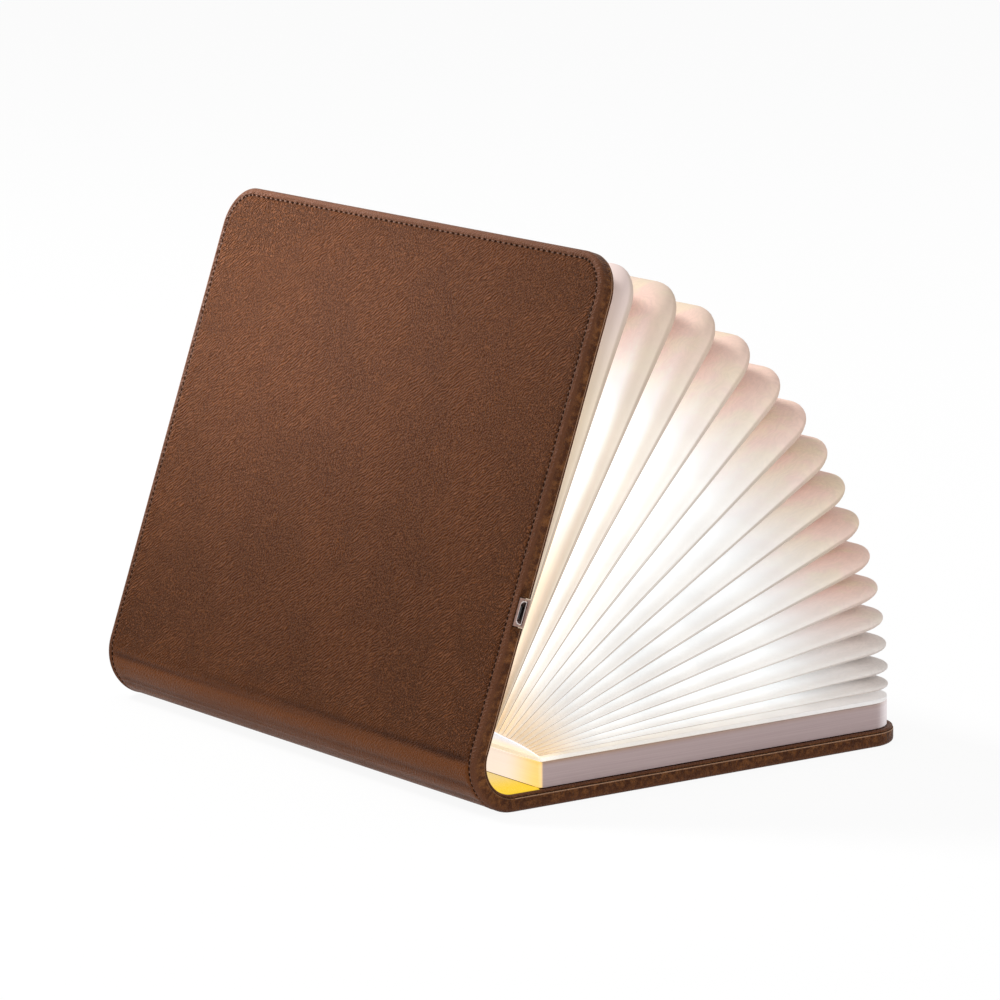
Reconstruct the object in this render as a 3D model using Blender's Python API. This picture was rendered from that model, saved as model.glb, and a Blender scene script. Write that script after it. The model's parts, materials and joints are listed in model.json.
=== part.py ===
"""Folding book lamp: two leather covers on a soft spine, with a lit paper bellows between them.

Lengths are in metres. X runs along the spine towards the tail edge, Y from the spine to the fore-edge
and Z up. The back cover lies flat, and the middle of its underside is the origin. The front cover
stands open at its photographed angle. Pieces of a cover are drawn in that cover's own frame: x along
the spine, u from the spine to the fore-edge, and w from the cover's outer face inwards.
"""

import math

import bmesh
import bpy
from mathutils import Matrix, Vector

# Covers
SPINE_LENGTH = 0.2150
COVER_REACH = 0.1596
COVER_THICKNESS = 0.0054
COVER_CORNER_RADIUS = 0.0140
COVER_RIM = 0.0040
LEATHER_THICKNESS = 0.0009
EDGE_ROUNDING = 0.0012
SEAM_GAP = 0.0003
SEAM_DEPTH_SHARE = 0.5
FIT = 0.0003

# How the book opens
OPENING_ANGLE = math.radians(70.7)
CLOSED_THICKNESS = 0.0256
HINGE_INSET = 0.0063
SPINE_RADIUS = 0.0160

# Tray on the back cover
TRAY_INSET = 0.0021
TRAY_BACK = 0.0112
TRAY_HEIGHT = 0.0081
TRAY_WALL = 0.0020
TRAY_LIP = 0.0008
TRAY_FLOOR = 0.0012
TRAY_CORNER_RADIUS = 0.0120
TRAY_BACK_RADIUS = 0.0015
DIFFUSER_THICKNESS = 0.0012
BASE_LEAF_THICKNESS = 0.0012
FRONT_LEAF_THICKNESS = 0.0003

# Paper bellows
RIDGE_COUNT = 15
RIDGE_END_SHARE = 0.46
RIDGE_SPREAD_POWER = 1.508
PAPER_THICKNESS = 0.0002
PAPER_GAP = 0.0002
PLEAT_DEPTH = 0.0140
VALLEY_CORNER_RADIUS = 0.0040
LEAF_SPRING = 0.0048
SPRING_POWER = 0.6
LEAF_TAPER = 0.0029
FRONT_ROOT_REACH = 0.0109
LINER_THICKNESS = 0.0003
FOLD_SHARE = 0.75
COLUMN_SHARES = (0, 0.08, 0.35, 1)
PILLOW_POWER = 0.42

# Magnets, switch, battery and boards
CATCH_MAGNET_RADIUS = 0.0050
TRIGGER_MAGNET_RADIUS = 0.0030
MAGNET_THICKNESS = 0.0022
MAGNET_FORE_MARGIN = 0.0200
MAGNET_END_MARGIN = 0.0250
LED_COUNT = 6
LED_SIDE = 0.0030
LED_HEIGHT = 0.0012
LED_SPACING = 0.0320
LED_BOARD_MARGIN = 0.0100
LED_BOARD_WIDTH = 0.0080
BOARD_THICKNESS = 0.0010
SOLDER_GAP = 0.0001
DRIVER_BOARD_LENGTH = 0.0560
DRIVER_BOARD_WIDTH = 0.0260
BATTERY_LENGTH = 0.1100
BATTERY_WIDTH = 0.0620
BATTERY_THICKNESS = 0.0042
BATTERY_ROUNDING = 0.0030
HALL_SWITCH_SIDE = 0.0036
HALL_SWITCH_HEIGHT = 0.0012
PART_SPACING = 0.0060

# Charging socket in the front cover's tail edge
PORT_REACH = 0.0454
CHARGE_BOARD_THICKNESS = 0.0006
CHARGE_BOARD_WIDTH = 0.0240
CHARGE_BOARD_LENGTH = 0.0200
SOCKET_WIDTH = 0.0075
SOCKET_HEIGHT = 0.0025
SOCKET_DEPTH = 0.0056
SOCKET_WALL = 0.0003
SOCKET_FLOOR = 0.0010
SOCKET_CHAMFER = 0.0008
TONGUE_WIDTH = 0.0040
TONGUE_THICKNESS = 0.0006
BEZEL_WIDTH = 0.0090
BEZEL_HEIGHT = 0.0042
BEZEL_THICKNESS = 0.0010

# Ribbon from the charge board to the tray
RIBBON_WIDTH = 0.0120
RIBBON_THICKNESS = 0.0003
RIBBON_END_MARGIN = 0.0190
RIBBON_BEND = 0.0012
RIBBON_RISE = 0.0050

# Modelling
CORNER_STEPS = 6
STRAIGHT_STEPS = 4
ROUNDING_STEPS = 3
ARC_STEPS = 18
DISC_STEPS = 20
OVERRUN = 0.0010
MERGE_DISTANCE = 1e-7
SHARP_ANGLE = math.radians(35)

# Worked out from the sizes above
HALF_LENGTH = SPINE_LENGTH / 2
HALF_ANGLE = OPENING_ANGLE / 2
SEAM_DEPTH = COVER_THICKNESS * SEAM_DEPTH_SHARE - SEAM_GAP / 2
HINGE_SPACING = CLOSED_THICKNESS - 2 * HINGE_INSET
BOOK_Y = -COVER_REACH / 2
TRAY_LOW = COVER_THICKNESS + FIT
TRAY_TOP = TRAY_LOW + TRAY_HEIGHT
TRAY_FORE = COVER_REACH - TRAY_INSET
LEAF_HALF = HALF_LENGTH - TRAY_INSET
INNER_FLOOR = TRAY_LOW + TRAY_FLOOR
BASE_LEAF_TOP = TRAY_TOP + FIT + BASE_LEAF_THICKNESS
FRONT_LEAF_TOP = COVER_THICKNESS + FIT + FRONT_LEAF_THICKNESS
STACK_LOW = BASE_LEAF_TOP + FIT + PAPER_GAP
STACK_HIGH = CLOSED_THICKNESS - FRONT_LEAF_TOP - PAPER_GAP
PORT_X = HALF_LENGTH
RIBBON_X = HALF_LENGTH - RIBBON_END_MARGIN
LED_BOARD_LENGTH = (LED_COUNT - 1) * LED_SPACING + 2 * LED_BOARD_MARGIN


def along(angle):
    """Unit vector in the YZ plane at this angle above the back cover."""
    return Vector((0, math.cos(angle), math.sin(angle)))


def across(angle):
    """Unit vector in the YZ plane, a quarter turn past along(angle)."""
    return Vector((0, -math.sin(angle), math.cos(angle)))


def spine_point(radius, angle):
    """Point on the spine's arc, turned by angle from the back cover's tangent line."""
    centre = Vector((0, BOOK_Y, SPINE_RADIUS))
    return centre + radius * Vector((0, -math.sin(angle), -math.cos(angle)))


def hinge_axes():
    """Points of the back and the front hinge axis, mirror images in the plane that halves the opening."""
    rise = math.cos(HALF_ANGLE) * (SPINE_RADIUS - HINGE_INSET)
    y = (HINGE_SPACING / 2 - rise) / math.sin(HALF_ANGLE)
    back = Vector((0, BOOK_Y + y, HINGE_INSET))
    return back, back + HINGE_SPACING * across(HALF_ANGLE)


BACK_AXIS, FRONT_AXIS = hinge_axes()
SPINE_ARC = math.pi - OPENING_ANGLE
WORLD = Vector((0, 0, 0))


def cover_frame(side):
    """Matrix from a cover's own x, u and w to the world."""
    if side == "back":
        return Matrix.Translation((0, BOOK_Y, 0))
    reach, inwards = along(OPENING_ANGLE), -across(OPENING_ANGLE)
    start = spine_point(SPINE_RADIUS, SPINE_ARC)
    columns = (Vector((-1, 0, 0)), reach, inwards)
    turned = Matrix([[column[row] for column in columns] for row in range(3)]).to_4x4()
    return Matrix.Translation(start) @ turned


BACK_FRAME, FRONT_FRAME = cover_frame("back"), cover_frame("front")


def finish_material(name, colour, roughness, metallic=0.0):
    material = bpy.data.materials.get(name)
    if material:
        return material
    material = bpy.data.materials.new(name)
    material.use_nodes = True
    shader = material.node_tree.nodes["Principled BSDF"]
    shader.inputs["Base Color"].default_value = (*colour, 1)
    shader.inputs["Roughness"].default_value = roughness
    shader.inputs["Metallic"].default_value = metallic
    material.diffuse_color = (*colour, 1)
    return material


def leather():
    return finish_material("brown_leather", (0.17, 0.075, 0.04), 0.55)


def grey_board():
    return finish_material("grey_board", (0.36, 0.33, 0.29), 0.9)


def paper():
    return finish_material("pleated_paper", (0.93, 0.87, 0.76), 0.8)


def tray_plastic():
    return finish_material("tray_plastic", (0.66, 0.61, 0.63), 0.5)


def diffuser_plastic():
    return finish_material("diffuser_plastic", (0.95, 0.9, 0.8), 0.6)


def circuit_board():
    return finish_material("circuit_board", (0.03, 0.2, 0.09), 0.4)


def led_case():
    return finish_material("led_case", (0.95, 0.85, 0.4), 0.3)


def plated_steel():
    return finish_material("plated_steel", (0.62, 0.55, 0.53), 0.3, 1.0)


def black_plastic():
    return finish_material("black_plastic", (0.02, 0.02, 0.02), 0.4)


def battery_foil():
    return finish_material("battery_foil", (0.6, 0.6, 0.62), 0.35, 0.8)


def ribbon_film():
    return finish_material("ribbon_film", (0.55, 0.25, 0.05), 0.4)


def add_object(name, bm, material, axis=WORLD):
    """Makes the object, with its origin on the axis that it turns about."""
    bmesh.ops.remove_doubles(bm, verts=bm.verts, dist=MERGE_DISTANCE)
    bmesh.ops.recalc_face_normals(bm, faces=bm.faces)
    mesh = bpy.data.meshes.new(name)
    bm.to_mesh(mesh)
    bm.free()
    mesh.transform(Matrix.Translation(-axis))
    mesh.shade_smooth()
    mesh.set_sharp_from_angle(angle=SHARP_ANGLE)
    mesh.materials.append(material)
    obj = bpy.data.objects.new(name, mesh)
    obj.location = axis
    bpy.context.scene.collection.objects.link(obj)
    return obj


def loft(name, rings, material, axis=WORLD, frame=None):
    """Closed solid whose skin runs from ring to ring, with the first and the last ring filled."""
    bm = bmesh.new()
    if frame:
        rings = [[frame @ Vector(point) for point in ring] for ring in rings]
    loops = [[bm.verts.new(point) for point in ring] for ring in rings]
    for low, high in zip(loops, loops[1:]):
        for i in range(len(low)):
            j = (i + 1) % len(low)
            bm.faces.new((low[i], low[j], high[j], high[i]))
    bm.faces.new(loops[0])
    bm.faces.new(loops[-1])
    return add_object(name, bm, material, axis)


def cut(target, cutter):
    """Takes the cutter's shape out of the target."""
    cutter.hide_render = True
    cutter.display_type = "WIRE"
    modifier = target.modifiers.new(cutter.name, "BOOLEAN")
    modifier.operation = "DIFFERENCE"
    modifier.solver = "EXACT"
    modifier.object = cutter


def join(target, addition):
    """Adds the other shape to the target, as one body."""
    addition.hide_render = True
    addition.display_type = "WIRE"
    modifier = target.modifiers.new(addition.name, "BOOLEAN")
    modifier.operation = "UNION"
    modifier.solver = "EXACT"
    modifier.object = addition


def block(name, frame, x_span, u_span, w_span, material, axis=WORLD):
    """Box between the given spans of a cover's frame."""
    (x0, x1), (u0, u1), (w0, w1) = x_span, u_span, w_span
    corners = ((x0, u0), (x1, u0), (x1, u1), (x0, u1))
    rings = [[(x, u, w) for x, u in corners] for w in (w0, w1)]
    return loft(name, rings, material, axis, frame)


def disc(name, frame, centre, radius, w_span, material, axis=WORLD):
    """Round disc that lies in a cover's plane."""
    turns = [2 * math.pi * i / DISC_STEPS for i in range(DISC_STEPS)]
    x, u = centre
    rim = [(x + radius * math.cos(t), u + radius * math.sin(t)) for t in turns]
    return loft(name, [[(*p, w) for p in rim] for w in w_span], material, axis, frame)


def around(centre, size):
    """Span of this size about its centre."""
    return centre - size / 2, centre + size / 2


def corner_arc(x, u, radius, start):
    """Points of a quarter circle that begins at the angle start."""
    steps = CORNER_STEPS if radius > 0 else 0
    turns = [start + math.pi / 2 * i / max(steps, 1) for i in range(steps + 1)]
    return [(x + radius * math.cos(t), u + radius * math.sin(t)) for t in turns]


def page_outline(half, near, far, far_radius, near_radius=0):
    """Outline in x and u of a page with rounded fore-edge corners, starting at the spine side."""
    quarter = math.pi / 2
    return (
        corner_arc(-half + near_radius, near + near_radius, near_radius, 2 * quarter)
        + corner_arc(half - near_radius, near + near_radius, near_radius, 3 * quarter)
        + corner_arc(half - far_radius, far - far_radius, far_radius, 0)
        + corner_arc(-half + far_radius, far - far_radius, far_radius, quarter)
    )


def cover_ring(inset, near, w):
    """Outline of a cover at height w, drawn in by inset on its three free edges."""
    radius = max(COVER_CORNER_RADIUS - inset, EDGE_ROUNDING)
    outline = page_outline(HALF_LENGTH - inset, near, COVER_REACH - inset, radius)
    return [(x, u, w) for x, u in outline]


def cover_skin(name, side, inner, axis):
    """One leather layer of a cover: a flat dish whose rim meets the other layer at the seam."""
    turns = [math.pi / 2 * i / ROUNDING_STEPS for i in range(ROUNDING_STEPS + 1)]
    profile = [
        (EDGE_ROUNDING * (1 - math.sin(t)), 0, EDGE_ROUNDING * (1 - math.cos(t)))
        for t in turns
    ]
    profile.append((0, 0, SEAM_DEPTH))
    profile.append((COVER_RIM, COVER_RIM, SEAM_DEPTH))
    profile.append((COVER_RIM, COVER_RIM, LEATHER_THICKNESS))
    rings = [
        cover_ring(inset, near, COVER_THICKNESS - w if inner else w)
        for inset, near, w in profile
    ]
    return loft(name, rings, leather(), axis, cover_frame(side))


def cover_board(side, axis):
    """Stiff board between the two leather layers."""
    inset = COVER_RIM + FIT
    low, high = board_span()
    rings = [cover_ring(inset, inset, w) for w in (low, high)]
    return loft(f"{side}_board", rings, grey_board(), axis, cover_frame(side))


def board_span():
    return LEATHER_THICKNESS + FIT, COVER_THICKNESS - LEATHER_THICKNESS - FIT


def seat_magnet(name, side, board, centre, radius, axis):
    """Disc magnet in a round hole through the board."""
    low, high = board_span()
    frame = cover_frame(side)
    span = around((low + high) / 2, MAGNET_THICKNESS)
    disc(name, frame, centre, radius, span, plated_steel(), axis)
    hole_span = low - OVERRUN, high + OVERRUN
    cut(board, disc(f"{name}_hole", frame, centre, radius + FIT, hole_span, grey_board(), axis))


def make_cover(side, axis):
    """Leather, board and lining of one cover, with the two magnets that hold the covers together."""
    skins = [
        cover_skin(f"{side}_leather", side, False, axis),
        cover_skin(f"{side}_lining", side, True, axis),
    ]
    board = cover_board(side, axis)
    magnet_x = HALF_LENGTH - MAGNET_END_MARGIN
    magnet_u = COVER_REACH - MAGNET_FORE_MARGIN
    towards_tail = 1 if side == "back" else -1
    for end, x in (("tail", magnet_x), ("head", -magnet_x)):
        centre = (x * towards_tail, magnet_u)
        seat_magnet(f"{side}_magnet_{end}", side, board, centre, CATCH_MAGNET_RADIUS, axis)
    return skins, board


def rounded_span(t):
    """How far a rounded end draws in from the surface and from the end, at the turn t."""
    return EDGE_ROUNDING * (1 - math.sin(t)), EDGE_ROUNDING * (1 - math.cos(t))


def arc_band(x, outer, inner, start, end):
    """Closed cross-section between two radii of the spine's arc."""
    turns = [start + (end - start) * i / ARC_STEPS for i in range(ARC_STEPS + 1)]
    points = [spine_point(outer, t) for t in turns]
    points += [spine_point(inner, t) for t in reversed(turns)]
    return [point + Vector((x, 0, 0)) for point in points]


def spine_layer(name, outer, inner, round_outer):
    """One layer of the soft spine, rounded at head and tail on its free surface."""
    turns = [math.pi / 2 * i / ROUNDING_STEPS for i in range(ROUNDING_STEPS + 1)]
    ends = []
    for t in turns:
        drawn_in, from_end = rounded_span(t)
        sizes = (outer - drawn_in, inner) if round_outer else (outer, inner + drawn_in)
        ends.append((HALF_LENGTH - from_end, sizes))
    ends.reverse()
    stations = [(-x, sizes) for x, sizes in reversed(ends)] + ends
    clear = FIT / SPINE_RADIUS
    rings = [arc_band(x, *sizes, clear, SPINE_ARC - clear) for x, sizes in stations]
    return loft(name, rings, leather(), BACK_AXIS)


def make_spine():
    """Leather and lining of the spine, with a groove for the ribbon in the lining."""
    seam_radius = SPINE_RADIUS - SEAM_DEPTH
    inner_radius = SPINE_RADIUS - COVER_THICKNESS
    spine_layer("spine_leather", SPINE_RADIUS, seam_radius, True)
    lining = spine_layer("spine_lining", seam_radius - SEAM_GAP, inner_radius, False)
    groove_floor = seam_radius - SEAM_GAP - RIBBON_THICKNESS - FIT
    ends = around(RIBBON_X, RIBBON_WIDTH + 2 * FIT)
    rings = [
        arc_band(x, seam_radius, groove_floor, -HALF_ANGLE, SPINE_ARC + HALF_ANGLE)
        for x in ends
    ]
    cut(lining, loft("ribbon_groove", rings, leather(), BACK_AXIS))


def ribbon_path():
    """Points of the ribbon's middle line with the direction across it, from charge board to tray."""
    depth = SEAM_DEPTH + SEAM_GAP + RIBBON_THICKNESS / 2
    up = Vector((0, 0, 1))
    board_edge = PORT_REACH - CHARGE_BOARD_WIDTH / 2 + RIBBON_BEND
    path = [(FRONT_FRAME @ Vector((0, board_edge, depth)), -across(OPENING_ANGLE))]
    for i in range(ARC_STEPS + 1):
        turn = SPINE_ARC * (1 - i / ARC_STEPS)
        inwards = Vector((0, math.sin(turn), math.cos(turn)))
        path.append((spine_point(SPINE_RADIUS - depth, turn), inwards))
    bend_y = BOOK_Y + TRAY_BACK + TRAY_WALL + PART_SPACING
    centre = Vector((0, bend_y - RIBBON_BEND, depth + RIBBON_BEND))
    for i in range(CORNER_STEPS + 1):
        turn = math.pi / 2 * i / CORNER_STEPS
        inwards = Vector((0, -math.sin(turn), math.cos(turn)))
        path.append((centre - RIBBON_BEND * inwards, inwards))
    path.append((path[-1][0] + up * RIBBON_RISE, path[-1][1]))
    return path


def make_ribbon(linings, boards, tray):
    """Flat ribbon, and the grooves and slots that it passes through."""
    rings = []
    for point, inwards in ribbon_path():
        low, high = (point + inwards * share * RIBBON_THICKNESS for share in (-0.5, 0.5))
        sides = [Vector((x, 0, 0)) for x in around(RIBBON_X, RIBBON_WIDTH)]
        rings.append([low + sides[0], low + sides[1], high + sides[1], high + sides[0]])
    loft("power_ribbon", rings, ribbon_film(), BACK_AXIS)

    seam_top = SEAM_DEPTH + SEAM_GAP
    notch_span = SEAM_DEPTH, seam_top + RIBBON_THICKNESS + FIT
    rise_u = TRAY_BACK + TRAY_WALL + PART_SPACING
    slots = (
        ("back", RIBBON_X, rise_u + RIBBON_THICKNESS + FIT, WORLD),
        ("front", -RIBBON_X, PORT_REACH, FRONT_AXIS),
    )
    board_low, board_high = board_span()
    for side, x, far, axis in slots:
        frame = cover_frame(side)
        across_span = around(x, RIBBON_WIDTH + 2 * FIT)
        near_notch = block(
            f"{side}_ribbon_notch", frame, across_span, (-OVERRUN, COVER_RIM + OVERRUN),
            notch_span, leather(), axis,
        )
        cut(linings[side], near_notch)
        board_groove = block(
            f"{side}_ribbon_groove", frame, across_span, (-OVERRUN, far),
            (seam_top - FIT, board_high + OVERRUN), grey_board(), axis,
        )
        cut(boards[side], board_groove)
    rise_span = rise_u - RIBBON_THICKNESS - FIT, rise_u + RIBBON_THICKNESS + FIT
    across_span = around(RIBBON_X, RIBBON_WIDTH + 2 * FIT)
    rise_hole = block(
        "ribbon_rise_hole", BACK_FRAME, across_span, rise_span,
        (board_low, INNER_FLOOR + OVERRUN), leather(),
    )
    cut(linings["back"], rise_hole)
    cut(tray, rise_hole)


def tray_ring(inset, w):
    """Outline of the tray at height w, drawn in by inset all round."""
    outline = page_outline(
        LEAF_HALF - inset,
        TRAY_BACK + inset,
        TRAY_FORE - inset,
        TRAY_CORNER_RADIUS - inset,
        max(TRAY_BACK_RADIUS - inset, SOCKET_WALL),
    )
    return [(x, u, w) for x, u in outline]


def make_tray():
    """Open tray with a ledge round its mouth, its diffuser, and the flat leaf that carries the bellows."""
    ledge = TRAY_TOP - DIFFUSER_THICKNESS - FIT
    profile = (
        (0, TRAY_LOW),
        (0, TRAY_TOP),
        (TRAY_LIP, TRAY_TOP),
        (TRAY_LIP, ledge - FIT),
        (TRAY_WALL, ledge - FIT),
        (TRAY_WALL, INNER_FLOOR),
    )
    rings = [tray_ring(inset, w) for inset, w in profile]
    tray = loft("page_tray", rings, tray_plastic(), WORLD, BACK_FRAME)
    seated = TRAY_LIP + FIT
    rings = [tray_ring(seated, w) for w in (ledge, ledge + DIFFUSER_THICKNESS)]
    loft("light_diffuser", rings, diffuser_plastic(), WORLD, BACK_FRAME)
    rings = [tray_ring(0, w) for w in (TRAY_TOP + FIT, BASE_LEAF_TOP)]
    loft("base_leaf", rings, paper(), WORLD, BACK_FRAME)
    return tray


def make_tray_contents():
    """LED board with its LEDs, driver board with its switch, and the battery, on the tray's floor."""
    low = INNER_FLOOR + FIT
    board_high = low + BOARD_THICKNESS
    on_board = board_high + SOLDER_GAP
    led_u = TRAY_BACK + TRAY_WALL + FIT + LED_BOARD_WIDTH / 2
    led_x = -(PART_SPACING + RIBBON_END_MARGIN) / 2
    block(
        "led_board", BACK_FRAME, around(led_x, LED_BOARD_LENGTH), around(led_u, LED_BOARD_WIDTH),
        (low, board_high), circuit_board(),
    )
    for i in range(LED_COUNT):
        x = led_x + LED_SPACING * (i - (LED_COUNT - 1) / 2)
        block(
            f"led_{i + 1}", BACK_FRAME, around(x, LED_SIDE), around(led_u, LED_SIDE),
            (on_board, on_board + LED_HEIGHT), led_case(),
        )
    driver_u = led_u + LED_BOARD_WIDTH / 2 + PART_SPACING + DRIVER_BOARD_WIDTH / 2
    driver_x = LEAF_HALF - TRAY_WALL - PART_SPACING - DRIVER_BOARD_LENGTH / 2
    block(
        "driver_board", BACK_FRAME, around(driver_x, DRIVER_BOARD_LENGTH),
        around(driver_u, DRIVER_BOARD_WIDTH), (low, board_high), circuit_board(),
    )
    block(
        "hall_switch", BACK_FRAME, around(driver_x, HALL_SWITCH_SIDE),
        around(driver_u, HALL_SWITCH_SIDE), (on_board, on_board + HALL_SWITCH_HEIGHT), black_plastic(),
    )
    battery_u = driver_u + DRIVER_BOARD_WIDTH / 2 + PART_SPACING
    outline = page_outline(
        BATTERY_LENGTH / 2, battery_u, battery_u + BATTERY_WIDTH, BATTERY_ROUNDING, BATTERY_ROUNDING
    )
    rings = [[(x, u, w) for x, u in outline] for w in (low, low + BATTERY_THICKNESS)]
    loft("battery", rings, battery_foil(), WORLD, BACK_FRAME)
    return driver_x, driver_u


def page_axis(share):
    """Axis of a leaf that makes this share of the opening angle."""
    return BACK_AXIS.lerp(FRONT_AXIS, share)


def leaf_point(share, x, reach):
    """Point of the leaf plane at this share of the opening, at x and this distance from its axis."""
    angle = OPENING_ANGLE * share
    stacked = STACK_LOW + (STACK_HIGH - STACK_LOW) * share
    offset = stacked - (HINGE_INSET + HINGE_SPACING * share)
    return page_axis(share) + along(angle) * reach + across(angle) * offset + Vector((x, 0, 0))


def leaf_reach(share):
    """Distance from a leaf's axis to its fore-edge: the middle leaves spring out a little."""
    spring = LEAF_SPRING * math.sin(math.pi * share) ** SPRING_POWER
    return TRAY_FORE + BOOK_Y - BACK_AXIS.y + spring


def leaf_half(share):
    """Half the length of a leaf along the spine: the leaves narrow a little towards the front cover."""
    return LEAF_HALF - LEAF_TAPER * share


def root_reach(share):
    """Distance from a leaf's axis to its spine side."""
    at_tray = TRAY_BACK + BOOK_Y - BACK_AXIS.y
    return at_tray + (FRONT_ROOT_REACH - at_tray) * share


def ridge_share(number):
    """Share of the opening angle at a ridge, counted from the front cover."""
    return ((RIDGE_COUNT - number) / (RIDGE_COUNT + RIDGE_END_SHARE)) ** RIDGE_SPREAD_POWER


def valley_share(number):
    """Share of the opening angle at the valley in front of a ridge."""
    if number == 0:
        return 1
    if number == RIDGE_COUNT:
        return 0
    return (ridge_share(number - 1) + ridge_share(number)) / 2


def fold_line(share, inset, radius):
    """Points of a fold from its root along the tail side and round the corner to the fore-edge's middle."""
    half = leaf_half(share) - inset
    far = leaf_reach(share) - inset
    root = root_reach(share)
    side = far - radius - root
    places = [(half, root + side * i / STRAIGHT_STEPS) for i in range(STRAIGHT_STEPS)]
    places += corner_arc(half - radius, far - radius, radius, 0)
    places.append((0, far))
    return [leaf_point(share, x, reach) for x, reach in places]


def pillowed(tip, middle, rise, shares, sheet):
    """Points across a sheet from its ridge to its valley. It swells away from the pleat's own plane."""
    return [
        tip.lerp(middle, share) + rise * share**PILLOW_POWER - rise.normalized() * sheet
        for share in shares
    ]


def add_sheet(bm, rows):
    """Half a sheet, from the outer and the inner points across it at each place along its folds."""
    rows = [[[bm.verts.new(point) for point in line] for line in row] for row in rows]
    faces = []
    for row, following in zip(rows, rows[1:]):
        for low, high in zip(row, following):
            for i in range(len(low) - 1):
                faces.append(bm.faces.new((low[i], low[i + 1], high[i + 1], high[i])))
        edge = (row[0][-1], row[1][-1], following[1][-1], following[0][-1])
        faces.append(bm.faces.new(edge))
    outer, inner = rows[0]
    for i in range(len(outer) - 1):
        faces.append(bm.faces.new((outer[i], outer[i + 1], inner[i + 1], inner[i])))
    bmesh.ops.triangulate(bm, faces=faces, quad_method="FIXED")


def make_pleat(number):
    """One pleat: a sharp ridge round the page, and two sheets that part towards its neighbours."""
    share = ridge_share(number)
    normal = across(OPENING_ANGLE * share)
    ridge = fold_line(share, 0, TRAY_CORNER_RADIUS)
    front = fold_line(valley_share(number), PLEAT_DEPTH, VALLEY_CORNER_RADIUS)
    back = fold_line(valley_share(number + 1), PLEAT_DEPTH, VALLEY_CORNER_RADIUS)
    bm = bmesh.new()
    for towards_front in (1, -1):
        rows = []
        for tip, above, below in zip(ridge, front, back):
            middle = (above + below) / 2
            rise = (above - below - normal * PAPER_GAP) / 2
            sheet = min(PAPER_THICKNESS, rise.length * FOLD_SHARE)
            start = (sheet / rise.length) ** (1 / PILLOW_POWER)
            inner_shares = [start + (1 - start) * column for column in COLUMN_SHARES]
            rise *= towards_front
            outer = pillowed(tip, middle, rise, COLUMN_SHARES, 0)
            rows.append((outer, pillowed(tip, middle, rise, inner_shares, sheet)))
        add_sheet(bm, rows)
        mirror = Matrix.Scale(-1, 3, (1, 0, 0))
        add_sheet(bm, [[[mirror @ point for point in line] for line in row] for row in rows])
    return add_object(f"pleat_{number + 1:02d}", bm, paper(), page_axis(share))


def make_liner():
    """Paper strip that closes the bellows towards the spine, just behind the leaves' roots."""
    shares = [i / ARC_STEPS for i in range(ARC_STEPS + 1)]
    rings = []
    for end in (-1, 1):
        inner = [leaf_point(s, end * leaf_half(s), root_reach(s) - FIT) for s in shares]
        outer = [
            leaf_point(s, end * leaf_half(s), root_reach(s) - FIT - LINER_THICKNESS) for s in shares
        ]
        rings.append(inner + outer[::-1])
    loft("page_liner", rings, paper(), BACK_AXIS)


def make_front_leaf():
    """Leaf glued to the front cover's lining, which carries the bellows' last sheet."""
    start = (BACK_FRAME.inverted() @ BACK_AXIS).y
    near, far = root_reach(1) + start, leaf_reach(1) + start
    outline = page_outline(leaf_half(1), near, far, TRAY_CORNER_RADIUS)
    rings = [[(x, u, w) for x, u in outline] for w in (COVER_THICKNESS + FIT, FRONT_LEAF_TOP)]
    loft("front_leaf", rings, paper(), FRONT_AXIS, FRONT_FRAME)


def socket_outline(width, height, chamfer, u, w):
    """Socket mouth in u and w: a rectangle with its two outer-face corners cut off."""
    half, rise = width / 2, height / 2
    return [
        (u - half, w + rise),
        (u + half, w + rise),
        (u + half, w - rise + chamfer),
        (u + half - chamfer, w - rise),
        (u - half + chamfer, w - rise),
        (u - half, w - rise + chamfer),
    ]


def edge_prism(name, outline, depths, material):
    """Prism that runs in from the front cover's tail edge, between two depths."""
    rings = [[(depth - PORT_X, u, w) for u, w in outline] for depth in depths]
    return loft(name, rings, material, FRONT_AXIS, FRONT_FRAME)


def rectangle(width, height, u, w):
    (u0, u1), (w0, w1) = around(u, width), around(w, height)
    return [(u0, w0), (u1, w0), (u1, w1), (u0, w1)]


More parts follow.
